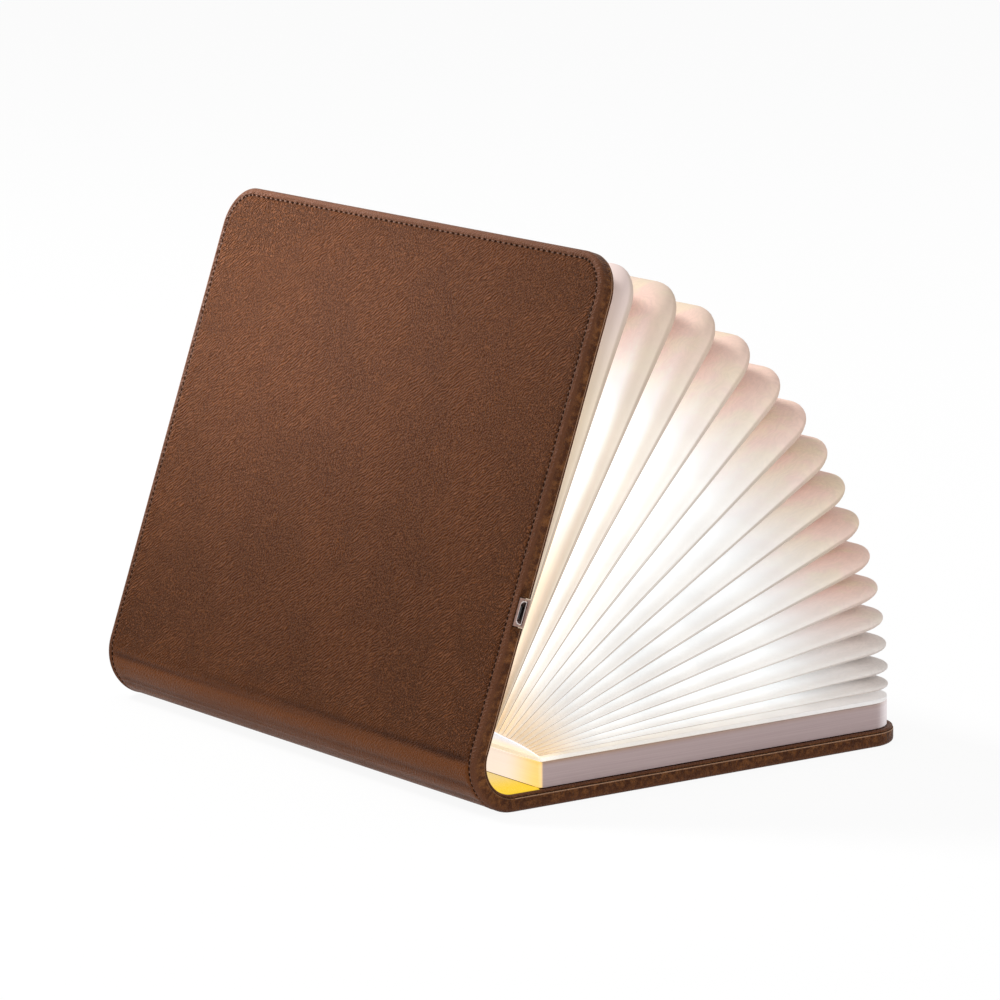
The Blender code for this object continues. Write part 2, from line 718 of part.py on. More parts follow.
def make_port(skins, board):
    """Socket, tongue, surround and charge board in the front cover, with the room that they need."""
    board_low, board_high = board_span()
    top = board_low + CHARGE_BOARD_THICKNESS
    middle = top + SOLDER_GAP + SOCKET_HEIGHT / 2
    back = BEZEL_THICKNESS + FIT + SOCKET_DEPTH

    shell = edge_prism(
        "usb_socket",
        socket_outline(SOCKET_WIDTH, SOCKET_HEIGHT, SOCKET_CHAMFER, PORT_REACH, middle),
        (SOCKET_WALL, back), plated_steel(),
    )
    mouth = socket_outline(
        SOCKET_WIDTH - 2 * SOCKET_WALL, SOCKET_HEIGHT - 2 * SOCKET_WALL, SOCKET_CHAMFER, PORT_REACH, middle
    )
    cut(shell, edge_prism("socket_mouth", mouth, (-OVERRUN, back - SOCKET_FLOOR), plated_steel()))
    edge_prism(
        "usb_tongue", rectangle(TONGUE_WIDTH, TONGUE_THICKNESS, PORT_REACH, middle),
        (BEZEL_THICKNESS, back - SOCKET_FLOOR - FIT), black_plastic(),
    )
    bezel = edge_prism(
        "port_bezel", rectangle(BEZEL_WIDTH, BEZEL_HEIGHT, PORT_REACH, middle),
        (0, BEZEL_THICKNESS), plated_steel(),
    )
    round_shell = socket_outline(
        SOCKET_WIDTH + FIT, SOCKET_HEIGHT + FIT, SOCKET_CHAMFER, PORT_REACH, middle
    )
    cut(bezel, edge_prism("bezel_hole", round_shell, (-OVERRUN, BEZEL_THICKNESS + OVERRUN), plated_steel()))

    board_start = COVER_RIM + FIT
    board_back = board_start + CHARGE_BOARD_LENGTH
    x_span = board_start - PORT_X, board_back - PORT_X
    u_span = around(PORT_REACH, CHARGE_BOARD_WIDTH)
    charge_board = block(
        "charge_board", FRONT_FRAME, x_span, u_span, (board_low, top), circuit_board(), FRONT_AXIS
    )
    clip_u = u_span[0] + RIBBON_BEND
    clip_top = SEAM_DEPTH + SEAM_GAP - SOLDER_GAP
    clip = block(
        "ribbon_clip", FRONT_FRAME, around(-RIBBON_X, RIBBON_WIDTH / 2), (u_span[0], clip_u + RIBBON_BEND),
        (board_low + CHARGE_BOARD_THICKNESS / 2, clip_top), circuit_board(), FRONT_AXIS,
    )
    join(charge_board, clip)

    room = block(
        "charge_board_room", FRONT_FRAME, (-HALF_LENGTH, x_span[1] + FIT),
        (u_span[0] - FIT, u_span[1] + FIT), (board_low - OVERRUN, board_high + OVERRUN),
        grey_board(), FRONT_AXIS,
    )
    cut(board, room)
    recess = edge_prism(
        "port_recess", rectangle(BEZEL_WIDTH + 2 * FIT, BEZEL_HEIGHT + 2 * FIT, PORT_REACH, middle),
        (-OVERRUN, COVER_RIM + OVERRUN), leather(),
    )
    for skin in skins:
        cut(skin, recess)


def make_lamp():
    back_skins, back_board = make_cover("back", WORLD)
    front_skins, front_board = make_cover("front", FRONT_AXIS)
    tray = make_tray()
    switch_x, switch_u = make_tray_contents()
    seat_magnet(
        "trigger_magnet", "front", front_board, (-switch_x, switch_u), TRIGGER_MAGNET_RADIUS, FRONT_AXIS
    )
    make_spine()
    make_port(front_skins, front_board)
    linings = {"back": back_skins[1], "front": front_skins[1]}
    boards = {"back": back_board, "front": front_board}
    make_ribbon(linings, boards, tray)
    make_liner()
    make_front_leaf()
    for number in range(RIDGE_COUNT):
        make_pleat(number)


for old in list(bpy.data.objects):
    bpy.data.objects.remove(old, do_unlink=True)
make_lamp()
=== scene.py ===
# %% [markdown]
# # A folding book lamp
#
# The lamp is a book with two leather covers, a soft spine and a bellows of white paper that fans
# out between them. Lamps in the page tray light the paper from inside. This file takes the
# measured solids as a fixed frame and dresses them: turned leather edges, thread, creases, folded
# paper with its glow, and a finish for every other part.

import json
import math
from collections import defaultdict

import bmesh
import bpy
from mathutils import Matrix, Vector


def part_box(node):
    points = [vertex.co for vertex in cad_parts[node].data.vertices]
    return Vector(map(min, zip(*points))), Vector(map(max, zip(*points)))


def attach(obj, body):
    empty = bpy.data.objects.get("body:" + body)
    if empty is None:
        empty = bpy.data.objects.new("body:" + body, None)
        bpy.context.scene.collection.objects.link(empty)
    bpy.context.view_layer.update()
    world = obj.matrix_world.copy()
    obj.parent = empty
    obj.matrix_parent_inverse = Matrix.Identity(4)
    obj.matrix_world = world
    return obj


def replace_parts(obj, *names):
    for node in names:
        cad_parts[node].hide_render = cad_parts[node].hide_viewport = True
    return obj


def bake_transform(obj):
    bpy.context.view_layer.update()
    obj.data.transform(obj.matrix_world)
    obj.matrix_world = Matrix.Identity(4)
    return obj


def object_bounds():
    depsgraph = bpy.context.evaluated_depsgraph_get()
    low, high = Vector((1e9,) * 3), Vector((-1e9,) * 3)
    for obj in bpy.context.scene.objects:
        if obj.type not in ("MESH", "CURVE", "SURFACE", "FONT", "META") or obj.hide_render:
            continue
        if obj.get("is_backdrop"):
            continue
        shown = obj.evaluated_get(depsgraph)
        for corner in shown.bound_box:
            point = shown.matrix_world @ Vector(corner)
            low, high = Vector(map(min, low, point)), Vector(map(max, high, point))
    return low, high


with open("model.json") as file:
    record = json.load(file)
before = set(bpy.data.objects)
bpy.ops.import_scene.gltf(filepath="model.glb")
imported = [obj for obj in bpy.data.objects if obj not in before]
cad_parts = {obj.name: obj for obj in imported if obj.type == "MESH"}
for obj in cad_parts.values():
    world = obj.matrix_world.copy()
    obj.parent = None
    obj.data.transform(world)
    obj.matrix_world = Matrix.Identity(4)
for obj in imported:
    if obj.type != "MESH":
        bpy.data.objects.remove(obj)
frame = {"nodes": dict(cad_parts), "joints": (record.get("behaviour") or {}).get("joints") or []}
solid_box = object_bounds()
print("solids from", tuple(solid_box[0]), "to", tuple(solid_box[1]))

# %% [markdown]
# Everything below hangs on a few measures of the book, and all of them are read from the frame:
# the size of a cover, the two hinge axes, and the angle at which the book stands open. The angle
# follows from the axes, which lie as mirror images in the plane that halves the opening.

# %% Measure the book
MM = 0.001
back_low, back_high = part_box("back_leather")
HALF_LENGTH = back_high.x
BOOK_Y = back_low.y
REACH = back_high.y - back_low.y
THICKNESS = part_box("back_lining")[1].z


def hinge(name):
    place = next(joint for joint in frame["joints"] if joint["name"] == name)["pos_m"]
    return Vector(place)


BACK_AXIS, FRONT_AXIS = hinge("back_hinge"), hinge("front_hinge")
hinge_line = FRONT_AXIS - BACK_AXIS
HALF_ANGLE = math.atan2(hinge_line.z, hinge_line.y) - math.pi / 2
OPENING = 2 * HALF_ANGLE
rise = hinge_line.length / 2 - (BACK_AXIS.y - BOOK_Y) * math.sin(HALF_ANGLE)
SPINE_RADIUS = BACK_AXIS.z + rise / math.cos(HALF_ANGLE)
SPINE_ARC = math.pi - OPENING
print(f"opens {math.degrees(OPENING):.1f} degrees, spine radius {SPINE_RADIUS / MM:.2f} mm")

# %% [markdown]
# A cover is easiest to draw lying flat: x along the spine, u from the spine to the fore-edge and
# w from the outer face inwards. One matrix for each cover then sets that drawing in its place.

# %% Frames of the two covers
def along(angle):
    return Vector((0, math.cos(angle), math.sin(angle)))


def across(angle):
    return Vector((0, -math.sin(angle), math.cos(angle)))


def spine_place(radius, turn, x):
    """Point on the spine's arc, turned from the back cover's tangent line."""
    return Vector((x, BOOK_Y - radius * math.sin(turn), SPINE_RADIUS - radius * math.cos(turn)))


def front_matrix():
    columns = Matrix((Vector((-1, 0, 0)), along(OPENING), -across(OPENING)))
    turned = columns.transposed().to_4x4()
    return Matrix.Translation(spine_place(SPINE_RADIUS, SPINE_ARC, 0)) @ turned


COVER_FRAMES = {"back": Matrix.Translation((0, BOOK_Y, 0)), "front": front_matrix()}
print("front cover starts at", tuple(COVER_FRAMES["front"].translation))

# %% [markdown]
# A few helpers come first. One puts an object into the scene, two keep a number between 0 and 1,
# and the others build node trees, so that each finish further on reads as a list of what it does to
# a colour, a mask or the light.

# %% Helpers for objects and numbers
def new_object(name, data, material=None):
    if material:
        data.materials.append(material)
    obj = bpy.data.objects.new(name, data)
    bpy.context.scene.collection.objects.link(obj)
    return obj


def clamp(value):
    return min(1, max(0, value))


def smooth(value):
    """Runs smoothly from 0 to 1 with the value, and stays there beyond."""
    value = clamp(value)
    return value * value * (3 - 2 * value)


# %% Helpers for nodes
def new_group(name, inputs, outputs):
    group = bpy.data.node_groups.new(name, "ShaderNodeTree")
    kinds = {"value": "NodeSocketFloat", "place": "NodeSocketVector", "colour": "NodeSocketColor"}
    for title, kind, default in inputs:
        socket = group.interface.new_socket(name=title, in_out="INPUT", socket_type=kinds[kind])
        socket.default_value = default
    for title, kind in outputs:
        group.interface.new_socket(name=title, in_out="OUTPUT", socket_type=kinds[kind])
    return group, group.nodes.new("NodeGroupInput"), group.nodes.new("NodeGroupOutput")


def plug(tree, value, socket):
    """Links an output to a socket, or sets the socket to a plain value."""
    if isinstance(value, bpy.types.NodeSocket):
        tree.links.new(value, socket)
    else:
        socket.default_value = value


def add_node(tree, kind, sockets, **settings):
    """A node of this kind with its settings, its sockets linked to outputs or set to values."""
    node = tree.nodes.new(f"ShaderNode{kind}")
    for name, value in settings.items():
        setattr(node, name, value)
    for socket, value in sockets.items():
        plug(tree, value, node.inputs[socket])
    return node


# %% Numbers and colours in a node tree
def maths(tree, operation, *values):
    return add_node(tree, "Math", dict(enumerate(values)), operation=operation).outputs[0]


def times(tree, first, *others):
    for value in others:
        first = maths(tree, "MULTIPLY", first, value)
    return first


def rest(tree, value, share=1.0):
    """What is left of 1 when a share of the value is taken off."""
    return maths(tree, "MULTIPLY_ADD", value, -share, 1.0)


def ease(tree, value, low, high, at_low=0.0, at_high=1.0):
    """Runs smoothly from one value to another while the input goes from low to high."""
    sockets = dict(zip(("Value", "From Min", "From Max", "To Min", "To Max"),
                       (value, low, high, at_low, at_high)))
    return add_node(tree, "MapRange", sockets, interpolation_type="SMOOTHSTEP").outputs["Result"]


def blend_values(tree, factor, first, second):
    return maths(tree, "MULTIPLY_ADD", factor, maths(tree, "SUBTRACT", second, first), first)


def blend_colours(tree, factor, first, second, kind="MIX"):
    sockets = {"Factor": factor, 6: first, 7: second}
    return add_node(tree, "Mix", sockets, data_type="RGBA", blend_type=kind).outputs[2]


def shade(tree, colour, value):
    """A colour times a number."""
    grey = add_node(tree, "CombineColor", {0: value, 1: value, 2: value}).outputs[0]
    return blend_colours(tree, 1.0, colour, grey, "MULTIPLY")


# %% Places and textures in a node tree
def fact(tree, name, output="Fac"):
    """The number or place that a mesh keeps at its points under this name."""
    return add_node(tree, "Attribute", {}, attribute_name=name).outputs[output]


def own_place(tree):
    return add_node(tree, "TexCoord", {}).outputs["Object"]


def split_place(tree, place):
    return tuple(add_node(tree, "SeparateXYZ", {0: place}).outputs)


def cloud(tree, place, scale, detail=3.0, roughness=0.55, output="Fac"):
    sockets = {"Vector": place, "Scale": scale, "Detail": detail, "Roughness": roughness}
    return add_node(tree, "TexNoise", sockets).outputs[output]


def stretched(tree, place, scale, turn=(0, 0, 0)):
    sockets = {"Vector": place, "Rotation": turn, "Scale": scale}
    return add_node(tree, "Mapping", sockets).outputs[0]


def shifted(tree, place, scale, detail, reach):
    """The place moved about by a noise, by as much as reach."""
    sockets = {0: cloud(tree, place, scale, detail, output="Color"), 1: (reach,) * 3, 2: place}
    return add_node(tree, "VectorMath", sockets, operation="MULTIPLY_ADD").outputs[0]


# %% Helpers for finishes
def use_group(tree, group, **values):
    return add_node(tree, "Group", values, node_tree=group)


def new_finish(name, roughness, metallic=0.0):
    material = bpy.data.materials.new(name)
    material.use_nodes = True
    shader = material.node_tree.nodes["Principled BSDF"]
    shader.inputs["Roughness"].default_value = roughness
    shader.inputs["Metallic"].default_value = metallic
    return material, material.node_tree, shader


def finish(tree, node, **values):
    """Links or sets a node's sockets, whose names have underscores for spaces here."""
    for name, value in values.items():
        plug(tree, value, node.inputs[name.replace("_", " ")])


def raise_surface(tree, shader, height, distance, strength=1.0):
    bump = add_node(tree, "Bump", {"Height": height, "Distance": distance, "Strength": strength})
    tree.links.new(bump.outputs["Normal"], shader.inputs["Normal"])

# %% [markdown]
# The camera stands low and to the right of the spine, far away on a long lens, so that the covers'
# edges stay nearly parallel. The angles and the distance were found by matching the corners of the
# covers with the photograph.

# %% Camera
CAMERA_AIM = Vector((0.02157529, -0.02359362, 0.07957309))
CAMERA_DISTANCE = 1.82557
CAMERA_YAW = math.radians(54.4636)
CAMERA_RISE = math.radians(10.7528)
CAMERA_ROLL = math.radians(0.3678)
CAMERA_LENS = 201.14
SENSOR = 36


def add_camera():
    level = Vector((math.sin(CAMERA_YAW), -math.cos(CAMERA_YAW), 0))
    back = level * math.cos(CAMERA_RISE) + Vector((0, 0, math.sin(CAMERA_RISE)))
    right = (-back).cross(Vector((0, 0, 1))).normalized()
    down = (-back).cross(right)
    cosine, sine = math.cos(CAMERA_ROLL), math.sin(CAMERA_ROLL)
    axes = Matrix((right * cosine + down * sine, right * sine - down * cosine, back)).transposed()
    data = bpy.data.cameras.new("camera")
    data.lens = CAMERA_LENS
    data.sensor_width = SENSOR
    camera = new_object("camera", data)
    camera.matrix_world = Matrix.Translation(CAMERA_AIM + back * CAMERA_DISTANCE) @ axes.to_4x4()
    bpy.context.scene.camera = camera
    return camera


camera = add_camera()
print("camera at", tuple(camera.location))

# %% [markdown]
# The light is that of a plain studio: a white sky all round, one large soft lamp on the left that
# rakes over the front cover and brings out its grain, a weak one on the right, and a narrow spot
# that gives the front cover its sheen near the upper corner on the left. The floor is white and
# takes a faint shadow. What the camera sees of sky and floor is lifted to white with the Light Path
# node, so no extra light falls on the book for it.

# %% Studio
SKY_STRENGTH = 0.46
FLOOR_SIZE = 6.0
FLOOR_WHITE = (0.9, 0.9, 0.9, 1)
FLOOR_LIFT = 0.92
SPOT_AIM = Vector((-0.096, -0.048, 0.158))
SPOT_SETTINGS = {"spot_size": math.radians(17), "spot_blend": 1, "shadow_soft_size": 0.05}
STUDIO_LAMPS = (
    ("key_lamp", "AREA", 30, (-1.05, -0.67, 1.52), CAMERA_AIM, {"shape": "DISK", "size": 0.5}),
    ("fill_lamp", "AREA", 9, (1.7, -0.2, 0.9), CAMERA_AIM, {"shape": "DISK", "size": 1.2}),
    ("corner_spot", "SPOT", 58, (-0.74, -0.50, 0.325), SPOT_AIM, SPOT_SETTINGS),
)


def seen_directly(tree):
    """1 for rays from the camera, a mirror or a glass, 0 for light."""
    path = tree.nodes.new("ShaderNodeLightPath")
    total = path.outputs["Is Camera Ray"]
    for name in ("Is Glossy Ray", "Is Transmission Ray"):
        add = tree.nodes.new("ShaderNodeMath")
        add.operation = "MAXIMUM"
        tree.links.new(total, add.inputs[0])
        tree.links.new(path.outputs[name], add.inputs[1])
        total = add.outputs[0]
    return total


def light_sky():
    world = bpy.data.worlds.new("studio_sky")
    bpy.context.scene.world = world
    world.use_nodes = True
    tree = world.node_tree
    sockets = {"Value": seen_directly(tree), "To Min": SKY_STRENGTH, "To Max": 1}
    strength = add_node(tree, "MapRange", sockets).outputs["Result"]
    finish(tree, tree.nodes["Background"], Color=(1, 1, 1, 1), Strength=strength)


def lay_floor():
    material, tree, shader = new_finish("studio_floor", 1)
    finish(tree, shader, Base_Color=FLOOR_WHITE)
    glow = add_node(tree, "Emission", {}).outputs[0]
    lift = times(tree, seen_directly(tree), FLOOR_LIFT)
    mix = add_node(tree, "MixShader", {0: lift, 1: shader.outputs[0], 2: glow})
    finish(tree, tree.nodes["Material Output"], Surface=mix.outputs[0])
    mesh = bpy.data.meshes.new("studio_floor")
    corners = [(x * FLOOR_SIZE / 2, y * FLOOR_SIZE / 2, 0) for x in (-1, 1) for y in (-1, 1)]
    mesh.from_pydata(corners, [], [(0, 2, 3, 1)])
    floor = new_object("studio_floor", mesh, material)
    floor.location.z = solid_box[0].z - 0.05 * MM
    floor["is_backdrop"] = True


def hang_lamp(name, kind, power, place, aim, settings):
    data = bpy.data.lights.new(name, kind)
    data.energy = power
    for setting, value in settings.items():
        setattr(data, setting, value)
    lamp = new_object(name, data)
    lamp.location = place
    lamp.rotation_euler = (aim - lamp.location).to_track_quat("-Z", "Y").to_euler()


light_sky()
lay_floor()
for lamp_values in STUDIO_LAMPS:
    hang_lamp(*lamp_values)
bpy.context.scene.view_settings.view_transform = "Standard"
print("studio has", len(STUDIO_LAMPS), "lamps")

# %% [markdown]
# Most pieces here are sheets: leather turned round a board, paper folded in pleats. So one helper
# makes a sheet from rows of points, gives it an even thickness with Solidify, and keeps a few
# named numbers at each point, such as its place on the unrolled hide. Materials read those numbers
# with an Attribute node, so grain runs on over a hinge and doesn't slide when the book opens.
# Solidify adds its points after the old ones, so it is easy to mark which side a point is on.

# %% Helper for sheets
SMOOTH_ANGLE = math.radians(40)


def add_facts(facts, **values):
    for name, value in values.items():
        facts[name].append(value)


def store(mesh, name, values):
    """Keeps a number at each point, or three where the name ends in place."""
    if name.endswith("_place"):
        flat = [part for value in values for part in value]
        mesh.attributes.new(name, "FLOAT_VECTOR", "POINT").data.foreach_set("vector", flat)
    else:
        mesh.attributes.new(name, "FLOAT", "POINT").data.foreach_set("value", values)


def apply_modifiers(obj):
    graph = bpy.context.evaluated_depsgraph_get()
    mesh = bpy.data.meshes.new_from_object(obj.evaluated_get(graph))
    obj.modifiers.clear()
    obj.data = mesh


def sheet(name, rows, material, thickness, outward, facts, cap=False):
    """Sheet through rows of points, thickened away from the direction outward."""
    points = [point for row in rows for point in row]
    width = len(rows[0])
    corners = [i * width + j for i in range(len(rows) - 1) for j in range(width - 1)]
    faces = [(a, a + 1, a + 1 + width, a + width) for a in corners]
    if cap:
        faces.append(tuple(range(len(points) - width, len(points))))
    mesh = bpy.data.meshes.new(name)
    mesh.from_pydata(points, [], faces)
    mesh.update()
    widest = max(mesh.polygons, key=lambda face: face.area)
    if widest.normal.dot(outward) < 0:
        mesh.flip_normals()
    for fact, values in facts.items():
        store(mesh, fact, values)
    mesh.shade_smooth()
    obj = new_object(name, mesh, material)
    solid = obj.modifiers.new("thickness", "SOLIDIFY")
    solid.thickness = thickness
    solid.offset = -1
    apply_modifiers(obj)
    added = len(obj.data.vertices) - len(points)
    store(obj.data, "outer_side", [1.0] * len(points) + [0.0] * added)
    obj.data.set_sharp_from_angle(angle=SMOOTH_ANGLE)
    return obj


# %% [markdown]
# Effects that several finishes share are node groups, built once. The first is the grain of the
# leather: fine wrinkles that run slantwise over the hide, and in some patches are round instead.
# A Wave and a Noise texture, half and half, give the slanting wrinkles, a second Noise the round
# ones, and a Voronoi texture the domes between them. All are read at places that another Noise
# shifts, so that no row looks ruled. The places are turned to the slant first and stretched along
# it after: one Mapping node would stretch first and turn after. A last Voronoi texture breaks the
# wrinkles up into small pebbles.

# %% Grain of the leather
GRAIN_SLANT = (0, 0, math.radians(-37.7))
GRAIN_SHIFT = 2 * MM
GRAIN_LENGTH = 3.2 * MM
GRAIN_WIDTH = 0.88 * MM
ROUND_GRAIN = 0.92 * MM
WAVE_PERIOD = 0.98 * MM
BAND_SPACING = 2 * math.pi / 20  # from one band of a Wave texture to the next, at scale 1
PEBBLE_SIZE = 0.62 * MM
PEBBLE_SHARE = 0.6
DOME_SHARE = 0.35


def make_grain_group():
    group, inward, outward = new_group(
        "leather_grain",
        [("Place", "place", (0, 0, 0)), ("Softness", "value", 0.0)],
        [("Height", "value"), ("Valleys", "value"), ("Patches", "value")],
    )
    place = inward.outputs["Place"]
    moved = shifted(group, place, 0.16 / MM, 3.0, GRAIN_SHIFT)
    turned = stretched(group, moved, (1, 1, 1), GRAIN_SLANT)
    slanted = stretched(group, turned, (1 / GRAIN_LENGTH, 1 / GRAIN_WIDTH, 1 / GRAIN_WIDTH))
    wrinkle = {"Vector": slanted, "Scale": 1.0}
    cells = add_node(group, "TexVoronoi", wrinkle, feature="DISTANCE_TO_EDGE")
    domes = ease(group, cells.outputs["Distance"], 0.0, 0.3)
    bands = {"Vector": turned, "Scale": BAND_SPACING / WAVE_PERIOD, "Distortion": 5.5,
             "Detail": 1.0, "Detail Scale": 1.2}
    waves = add_node(group, "TexWave", bands, bands_direction="Y").outputs["Fac"]
    softened = ease(group, waves, 0.0, 1.0, 0.38, 0.62)
    long_folds = blend_values(group, 0.5, softened, cloud(group, slanted, 1.7, 2.0, 0.5))
    round_folds = cloud(group, moved, 1.7 / ROUND_GRAIN, 1.0, 0.5)
    pebbled = ease(group, cloud(group, place, 0.035 / MM, 2.0), 0.44, 0.6)
    folds = ease(group, blend_values(group, pebbled, long_folds, round_folds), 0.4, 0.6)
    pebbles = add_node(group, "TexVoronoi", {"Vector": moved, "Scale": 1 / PEBBLE_SIZE})
    strong = rest(group, inward.outputs["Softness"])
    sunk = times(group, pebbles.outputs["Distance"], -PEBBLE_SHARE)
    height = maths(group, "ADD", sunk, maths(group, "MULTIPLY_ADD", domes, DOME_SHARE, folds))
    patches = cloud(group, place, 0.022 / MM, 3.0)
    valleys = times(group, rest(group, folds), strong)
    group.links.new(times(group, height, strong), outward.inputs["Height"])
    group.links.new(valleys, outward.inputs["Valleys"])
    group.links.new(patches, outward.inputs["Patches"])
    return group


leather_grain = make_grain_group()
print("grain wrinkles are", GRAIN_LENGTH / MM, "by", GRAIN_WIDTH / MM, "mm")

# %% [markdown]
# The hide is a warm brown, and slow patches make it uneven. Its valleys are painted darker than
# its wrinkles, as painted shade in the grain. Outside the stitches it is smooth, and a greyer,
# darker brown there is painted sheen and shade on the rounded edge. On the spine the brown is
# painted darker and redder, as shade. Where it's turned round the edge of a board it is rubbed in
# spots of red-brown. The cut edge of the hide, where it meets the lining, is the pale tan of raw
# leather with a painted highlight where its lip catches the light, and the low wall of the lining
# beyond it is painted dark, as the shade in the gap. Between the covers, beside the spine, the
# lining glows with painted light from within the book.

# %% Light in the hollow behind the spine
HOLLOW_DEEP = (0.82, 0.62, 0.24, 1)
HOLLOW_TAIL = (0.92, 0.62, 0.04, 1)
HOLLOW_SPINE_LIGHT = 0.3
HOLLOW_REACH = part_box("page_tray")[0].y - BOOK_Y
HOLLOW_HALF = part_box("page_tray")[1].x
FRONT_ROOT = 10.9 * MM
HOLLOW_END = SPINE_RADIUS * SPINE_ARC + FRONT_ROOT


def hollow_glow(tree, place):
    """Light on the lining between the covers: pale deep in the book, yellow near tail and head."""
    along_spine, along_hide, inwards = split_place(tree, place)
    from_middle = maths(tree, "ABSOLUTE", along_spine)
    lit = times(
        tree,
        ease(tree, inwards, THICKNESS - 0.6 * MM, THICKNESS - 0.1 * MM),
        ease(tree, along_hide, 2 * MM, 9 * MM, 1.0, HOLLOW_SPINE_LIGHT),
        ease(tree, along_hide, -HOLLOW_REACH - 0.5 * MM, -HOLLOW_REACH),
        ease(tree, along_hide, HOLLOW_END, HOLLOW_END + 0.5 * MM, 1.0, 0.0),
        ease(tree, from_middle, HOLLOW_HALF - 0.3 * MM, HOLLOW_HALF + 0.5 * MM, 1.0, 0.0),
        fact(tree, "outer_side"),
    )
    near_end = ease(tree, from_middle, HOLLOW_HALF - 26 * MM, HOLLOW_HALF - 6 * MM)
    return shade(tree, blend_colours(tree, near_end, HOLLOW_DEEP, HOLLOW_TAIL), lit)


# %% Leather
HIDE_BROWN = (0.172, 0.053, 0.013, 1)
# Painted shade for the valleys of the grain.
HIDE_VALLEY_SHADE = (0.026, 0.007, 0.002, 1)
# Outside the stitches: a greyer, darker brown, painted sheen and shade on the rounded edge.
RIM_SHEEN_SHADE = (0.112, 0.050, 0.031, 1)
# Darker, redder brown for the spine: painted shade.
SPINE_SHADE_BROWN = (0.132, 0.037, 0.006, 1)
TURNED_DARK = (0.062, 0.019, 0.006, 1)
TURNED_RUBBED = (0.205, 0.078, 0.024, 1)
# The lining's low wall is painted dark, as the shade in the gap behind the seam.
LINING_WALL_SHADE = (0.060, 0.023, 0.010, 1)
# Pale tan of the raw cut edge, with a painted highlight where its lip catches the light.
RAW_EDGE_HIGHLIGHT = (0.50, 0.29, 0.18, 1)
CREASE_SHADE = (0.045, 0.012, 0.003, 1)
GRAIN_DEPTH = 1.0 * MM


def on_spine(tree, place):
    """1 on the hide of the spine, 0 on that of the covers."""
    _, along_hide, _ = split_place(tree, place)
    arc = SPINE_RADIUS * SPINE_ARC
    begun = ease(tree, along_hide, -3 * MM, 3 * MM)
    return times(tree, begun, ease(tree, along_hide, arc - 3 * MM, arc + 3 * MM, 1.0, 0.0))


def make_leather():
    material, tree, shader = new_finish("brown_hide", 0.5)
    hide_place = fact(tree, "hide_place", "Vector")
    grain = use_group(tree, leather_grain, Place=hide_place, Softness=fact(tree, "smoothing"))
    valleys, turned = grain.outputs["Valleys"], fact(tree, "turned_edge")
    mottle = cloud(tree, hide_place, 0.5 / MM, 5.0, 0.7)
    wall = blend_colours(tree, ease(tree, mottle, 0.40, 0.68), TURNED_DARK, TURNED_RUBBED)
    # The grain's valleys are painted darker: painted shade in the grain.
    colour = blend_colours(tree, times(tree, valleys, 0.62), HIDE_BROWN, HIDE_VALLEY_SHADE)
    colour = shade(tree, colour, ease(tree, grain.outputs["Patches"], 0.3, 0.7, 0.95, 1.05))
    for share, layer in (
        # The spine's hide is painted darker and redder, as shade.
        (times(tree, on_spine(tree, hide_place), 0.7), SPINE_SHADE_BROWN),
        # Painted sheen and shade on the smooth band outside the stitches.
        (times(tree, fact(tree, "rim"), 0.6), RIM_SHEEN_SHADE),
        (times(tree, fact(tree, "crease"), 0.8), CREASE_SHADE),
        (ease(tree, turned, 0.0, 1.0), wall),
        # Painted shade on the lining's wall.
        (ease(tree, turned, 1.05, 2.0), LINING_WALL_SHADE),
        # Raw leather and a painted highlight on the cut edge.
        (fact(tree, "raw_edge"), RAW_EDGE_HIGHLIGHT),
    ):
        colour = blend_colours(tree, share, colour, layer)
    finish(tree, shader, Base_Color=colour, Roughness=ease(tree, valleys, 0.0, 1.0, 0.42, 0.6),
           Specular_IOR_Level=0.07, Emission_Color=hollow_glow(tree, hide_place),
           Emission_Strength=1.0)
    raise_surface(tree, shader, grain.outputs["Height"], GRAIN_DEPTH)
    return material


brown_hide = make_leather()
print("leather ready:", brown_hide.name)

# %% [markdown]
# A cover is board wrapped in two layers of leather. The outer layer comes over the edge and meets
# the lining, whose low wall is set back a little, in a seam close to the cover's inner face. A row
# of stitches runs just inside the free edges and pulls the leather down into a narrow trough, with
# a slight swell on either side. The skin is drawn as open outlines that run from the spine round
# the fore-edge and back, one inside the other, and each outline has its own depth. That keeps the
# trough and the turned edge smooth at the corners.

# %% Edges and outlines of a cover
CORNER_RADIUS = 14 * MM
EDGE_ROUNDING = 1.2 * MM
LINING_ROUNDING = 0.45 * MM
LINING_STEP = 0.25 * MM
SEAM_PLACE = THICKNESS - 0.9 * MM
STITCH_INSET = 2.6 * MM
STITCH_TROUGH = 0.42 * MM
TROUGH_HALF = 0.85 * MM
EDGE_SWELL = 0.14 * MM
SKIN_THICKNESS = 0.8 * MM
RAW_BAND = 0.4 * MM
RIM_SMOOTHING = 0.8
SEAM_ROOM = 0.02 * MM
TUCK = 0.12 * MM
CORNER_STEPS = 14
SIDE_STEPS = 24
ROUND_STEPS = 5


def edge_sizes(inner):
    """Depth of the seam, rounding of the edge and set-back, for the lining or the outer leather."""
    if inner:
        return THICKNESS - SEAM_PLACE - SEAM_ROOM, LINING_ROUNDING, LINING_STEP
    return SEAM_PLACE - SEAM_ROOM, EDGE_ROUNDING, 0


